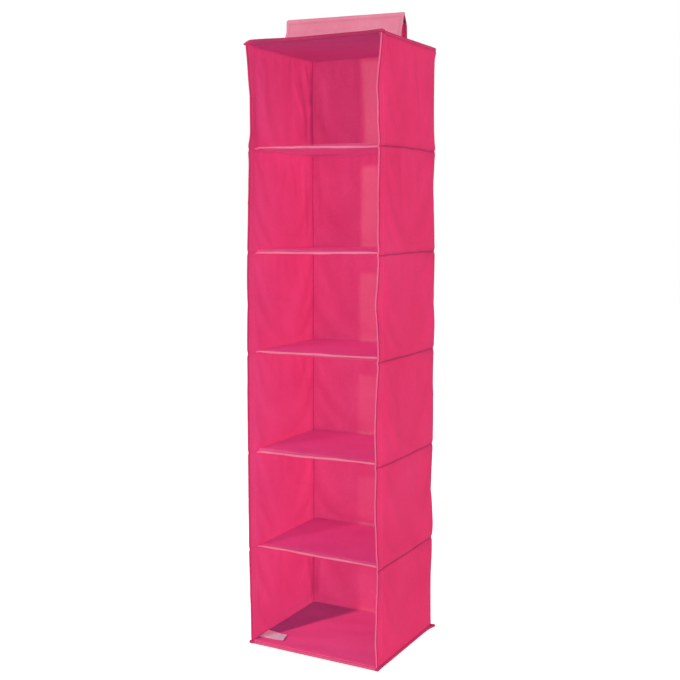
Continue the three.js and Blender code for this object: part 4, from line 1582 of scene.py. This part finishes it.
# ------------------------------------------------------------------ studio, in metres
KEY_AT = (-1.19, -2.414, 1.30)
KEY_AIM = (0, 0, 0.62)
KEY_SIZE = 0.16
AMBIENT = 0.32
FLOOR_GLOW = 0.8
WHITE = (1, 1, 1)
SHELF_TINT = (2.2, 0.52, 0.68)

scene.view_settings.view_transform = "Standard"
scene.view_settings.look = "None"
scene.view_settings.exposure = 0
scene.view_settings.gamma = 1

# white to the camera, a dim ambient light to everything else
scene.world = bpy.data.worlds.new("studio")
sky = Shader(scene.world)
camera_ray = sky.node("LightPath").outputs["Is Camera Ray"]
seen = sky.node("Background", Color=(1, 1, 1, 1), Strength=1.0).outputs[0]
lit = sky.node("Background", Color=(1.0, 0.985, 1.0, 1), Strength=AMBIENT).outputs[0]
sky.node("OutputWorld", sky.node("MixShader", camera_ray, lit, seen).outputs[0])


def light(name, kind, direction, energy, colour):
    """A light shining in a direction."""
    data = bpy.data.lights.new(name, kind)
    data.energy = energy
    data.color = colour
    lamp = bpy.data.objects.new(name, data)
    lamp.rotation_mode = "QUATERNION"
    lamp.rotation_quaternion = Vector(direction).to_track_quat("-Z", "Y")
    scene.collection.objects.link(lamp)
    return lamp


def softbox(name, energy, colour=WHITE, size=KEY_SIZE):
    """A round area light at the key light's place."""
    lamp = light(name, "AREA", Vector(KEY_AIM) - Vector(KEY_AT), energy, colour)
    lamp.data.shape = "DISK"
    lamp.data.size = size
    lamp.location = KEY_AT
    return lamp


def sun(name, toward, energy, colour=WHITE, shadow=False, spread=0.3):
    """A distant light coming from the direction toward."""
    lamp = light(name, "SUN", -Vector(toward), energy, colour)
    lamp.data.angle = spread
    lamp.data.use_shadow = shadow
    lamp.visible_glossy = False
    return lamp


def only(lamp, name, *starts):
    """The light reaches the pieces whose names start like this and no others."""
    group = bpy.data.collections.new(name)
    for piece in list(bpy.data.objects):
        if piece.name.startswith(starts):
            group.objects.link(piece)
    lamp.light_linking.receiver_collection = group


softbox("key", 4.0)
# the same softbox as the cloth's slight gloss shows it
softbox("key_gloss", 62.0, (1.0, 1.0, 0.7), size=0.11).visible_diffuse = False
# and as it reaches the shelves and the bottom, which it grazes
BOTTOM_PIECES = ("bottom_panel", "bottom_hem")
only(softbox("key_floor", 76.0, (2.25, 0.37, 0.48)), "floor_only", *BOTTOM_PIECES)
only(sun("floor_soft", (0, 0, 1), 0.34, (0.0, 1.0, 0.85)), "floor_soft", *BOTTOM_PIECES)
only(softbox("key_label", 22.0, (0.6, 1.25, 1.6)), "label_only", "care_label")
only(softbox("key_shelves", 24.0, SHELF_TINT, size=0.30), "shelves_lit", "shelf_cloth")
only(sun("shelf_soft", (-0.42, -0.86, 0.28), 2.7, SHELF_TINT), "shelves_soft", "shelf_cloth")
# light thrown up from the floor on to the undersides of the shelves and the top
BOUNCE_FROM = (0.2, -0.45, -0.87)
only(sun("floor_bounce", BOUNCE_FROM, 2.1, (1.45, 0.62, 0.58)), "shelves_under", "shelf_cloth")
bounce_top = sun("floor_bounce_top", BOUNCE_FROM, 0.85, (0.95, 1.0, 1.0))
only(bounce_top, "top_under", "top_panel", "top_edge")
# an even fill from the camera's side that casts no shadow
azimuth, elevation = math.radians(45), math.radians(4)
fill_from = (
    math.sin(azimuth) * math.cos(elevation),
    -math.cos(azimuth) * math.cos(elevation),
    math.sin(elevation),
)
sun("fill", fill_from, 2.47, spread=0.6)
# the room behind the object and to its right, which cannot shine in through the open front
sun("room_right", (1, 0.3, 0.04), 0.45, shadow=True)
sun("room_rear", (-0.62, 0.78, 0.05), 2.6, shadow=True)


def floor_paper():
    """White paper, lit brighter for the camera than it lights the object."""
    shader = Shader(bpy.data.materials.new("floor_paper"))
    cloud = shader.noise(shader.object_place(), scale=3.0, detail=3.0)
    camera_ray = shader.node("LightPath").outputs["Is Camera Ray"]
    return shader.surface(
        Base_Color=shader.ramp(cloud, (0, [0.93] * 3), (1, [0.96] * 3)),
        Roughness=0.9,
        Specular_IOR_Level=0.1,
        Emission_Color=(1, 1, 1, 1),
        Emission_Strength=shader.calc("MULTIPLY", camera_ray, FLOOR_GLOW),
    )


floor_mesh = bpy.data.meshes.new("floor")
bm = bmesh.new()
bmesh.ops.create_grid(bm, x_segments=12, y_segments=12, size=9)
bm.to_mesh(floor_mesh)
bm.free()
floor = bpy.data.objects.new("floor", floor_mesh)
floor.location = (0, 0, -0.0015)
scene.collection.objects.link(floor)
floor_mesh.materials.append(floor_paper())

# ------------------------------------------------------------------ camera
CAMERA_AT = (1.0611, -1.9680, 0.9061)
YAW, PITCH = -0.49762, -0.11605  # radians, clockwise from +Y and up from level

lens = bpy.data.cameras.new("camera")
camera = bpy.data.objects.new("camera", lens)
scene.collection.objects.link(camera)
forward = Vector(
    (math.sin(YAW) * math.cos(PITCH), math.cos(YAW) * math.cos(PITCH), math.sin(PITCH))
)
right = Vector((math.cos(YAW), -math.sin(YAW), 0))
pose = Matrix((right, right.cross(forward), -forward)).transposed().to_4x4()
pose.translation = Vector(CAMERA_AT)
camera.matrix_world = pose
lens.sensor_fit = "HORIZONTAL"
lens.sensor_width = 36.0
lens.lens = 56.6470588
lens.clip_start = 0.05
lens.clip_end = 60
scene.camera = camera

bpy.context.view_layer.update()
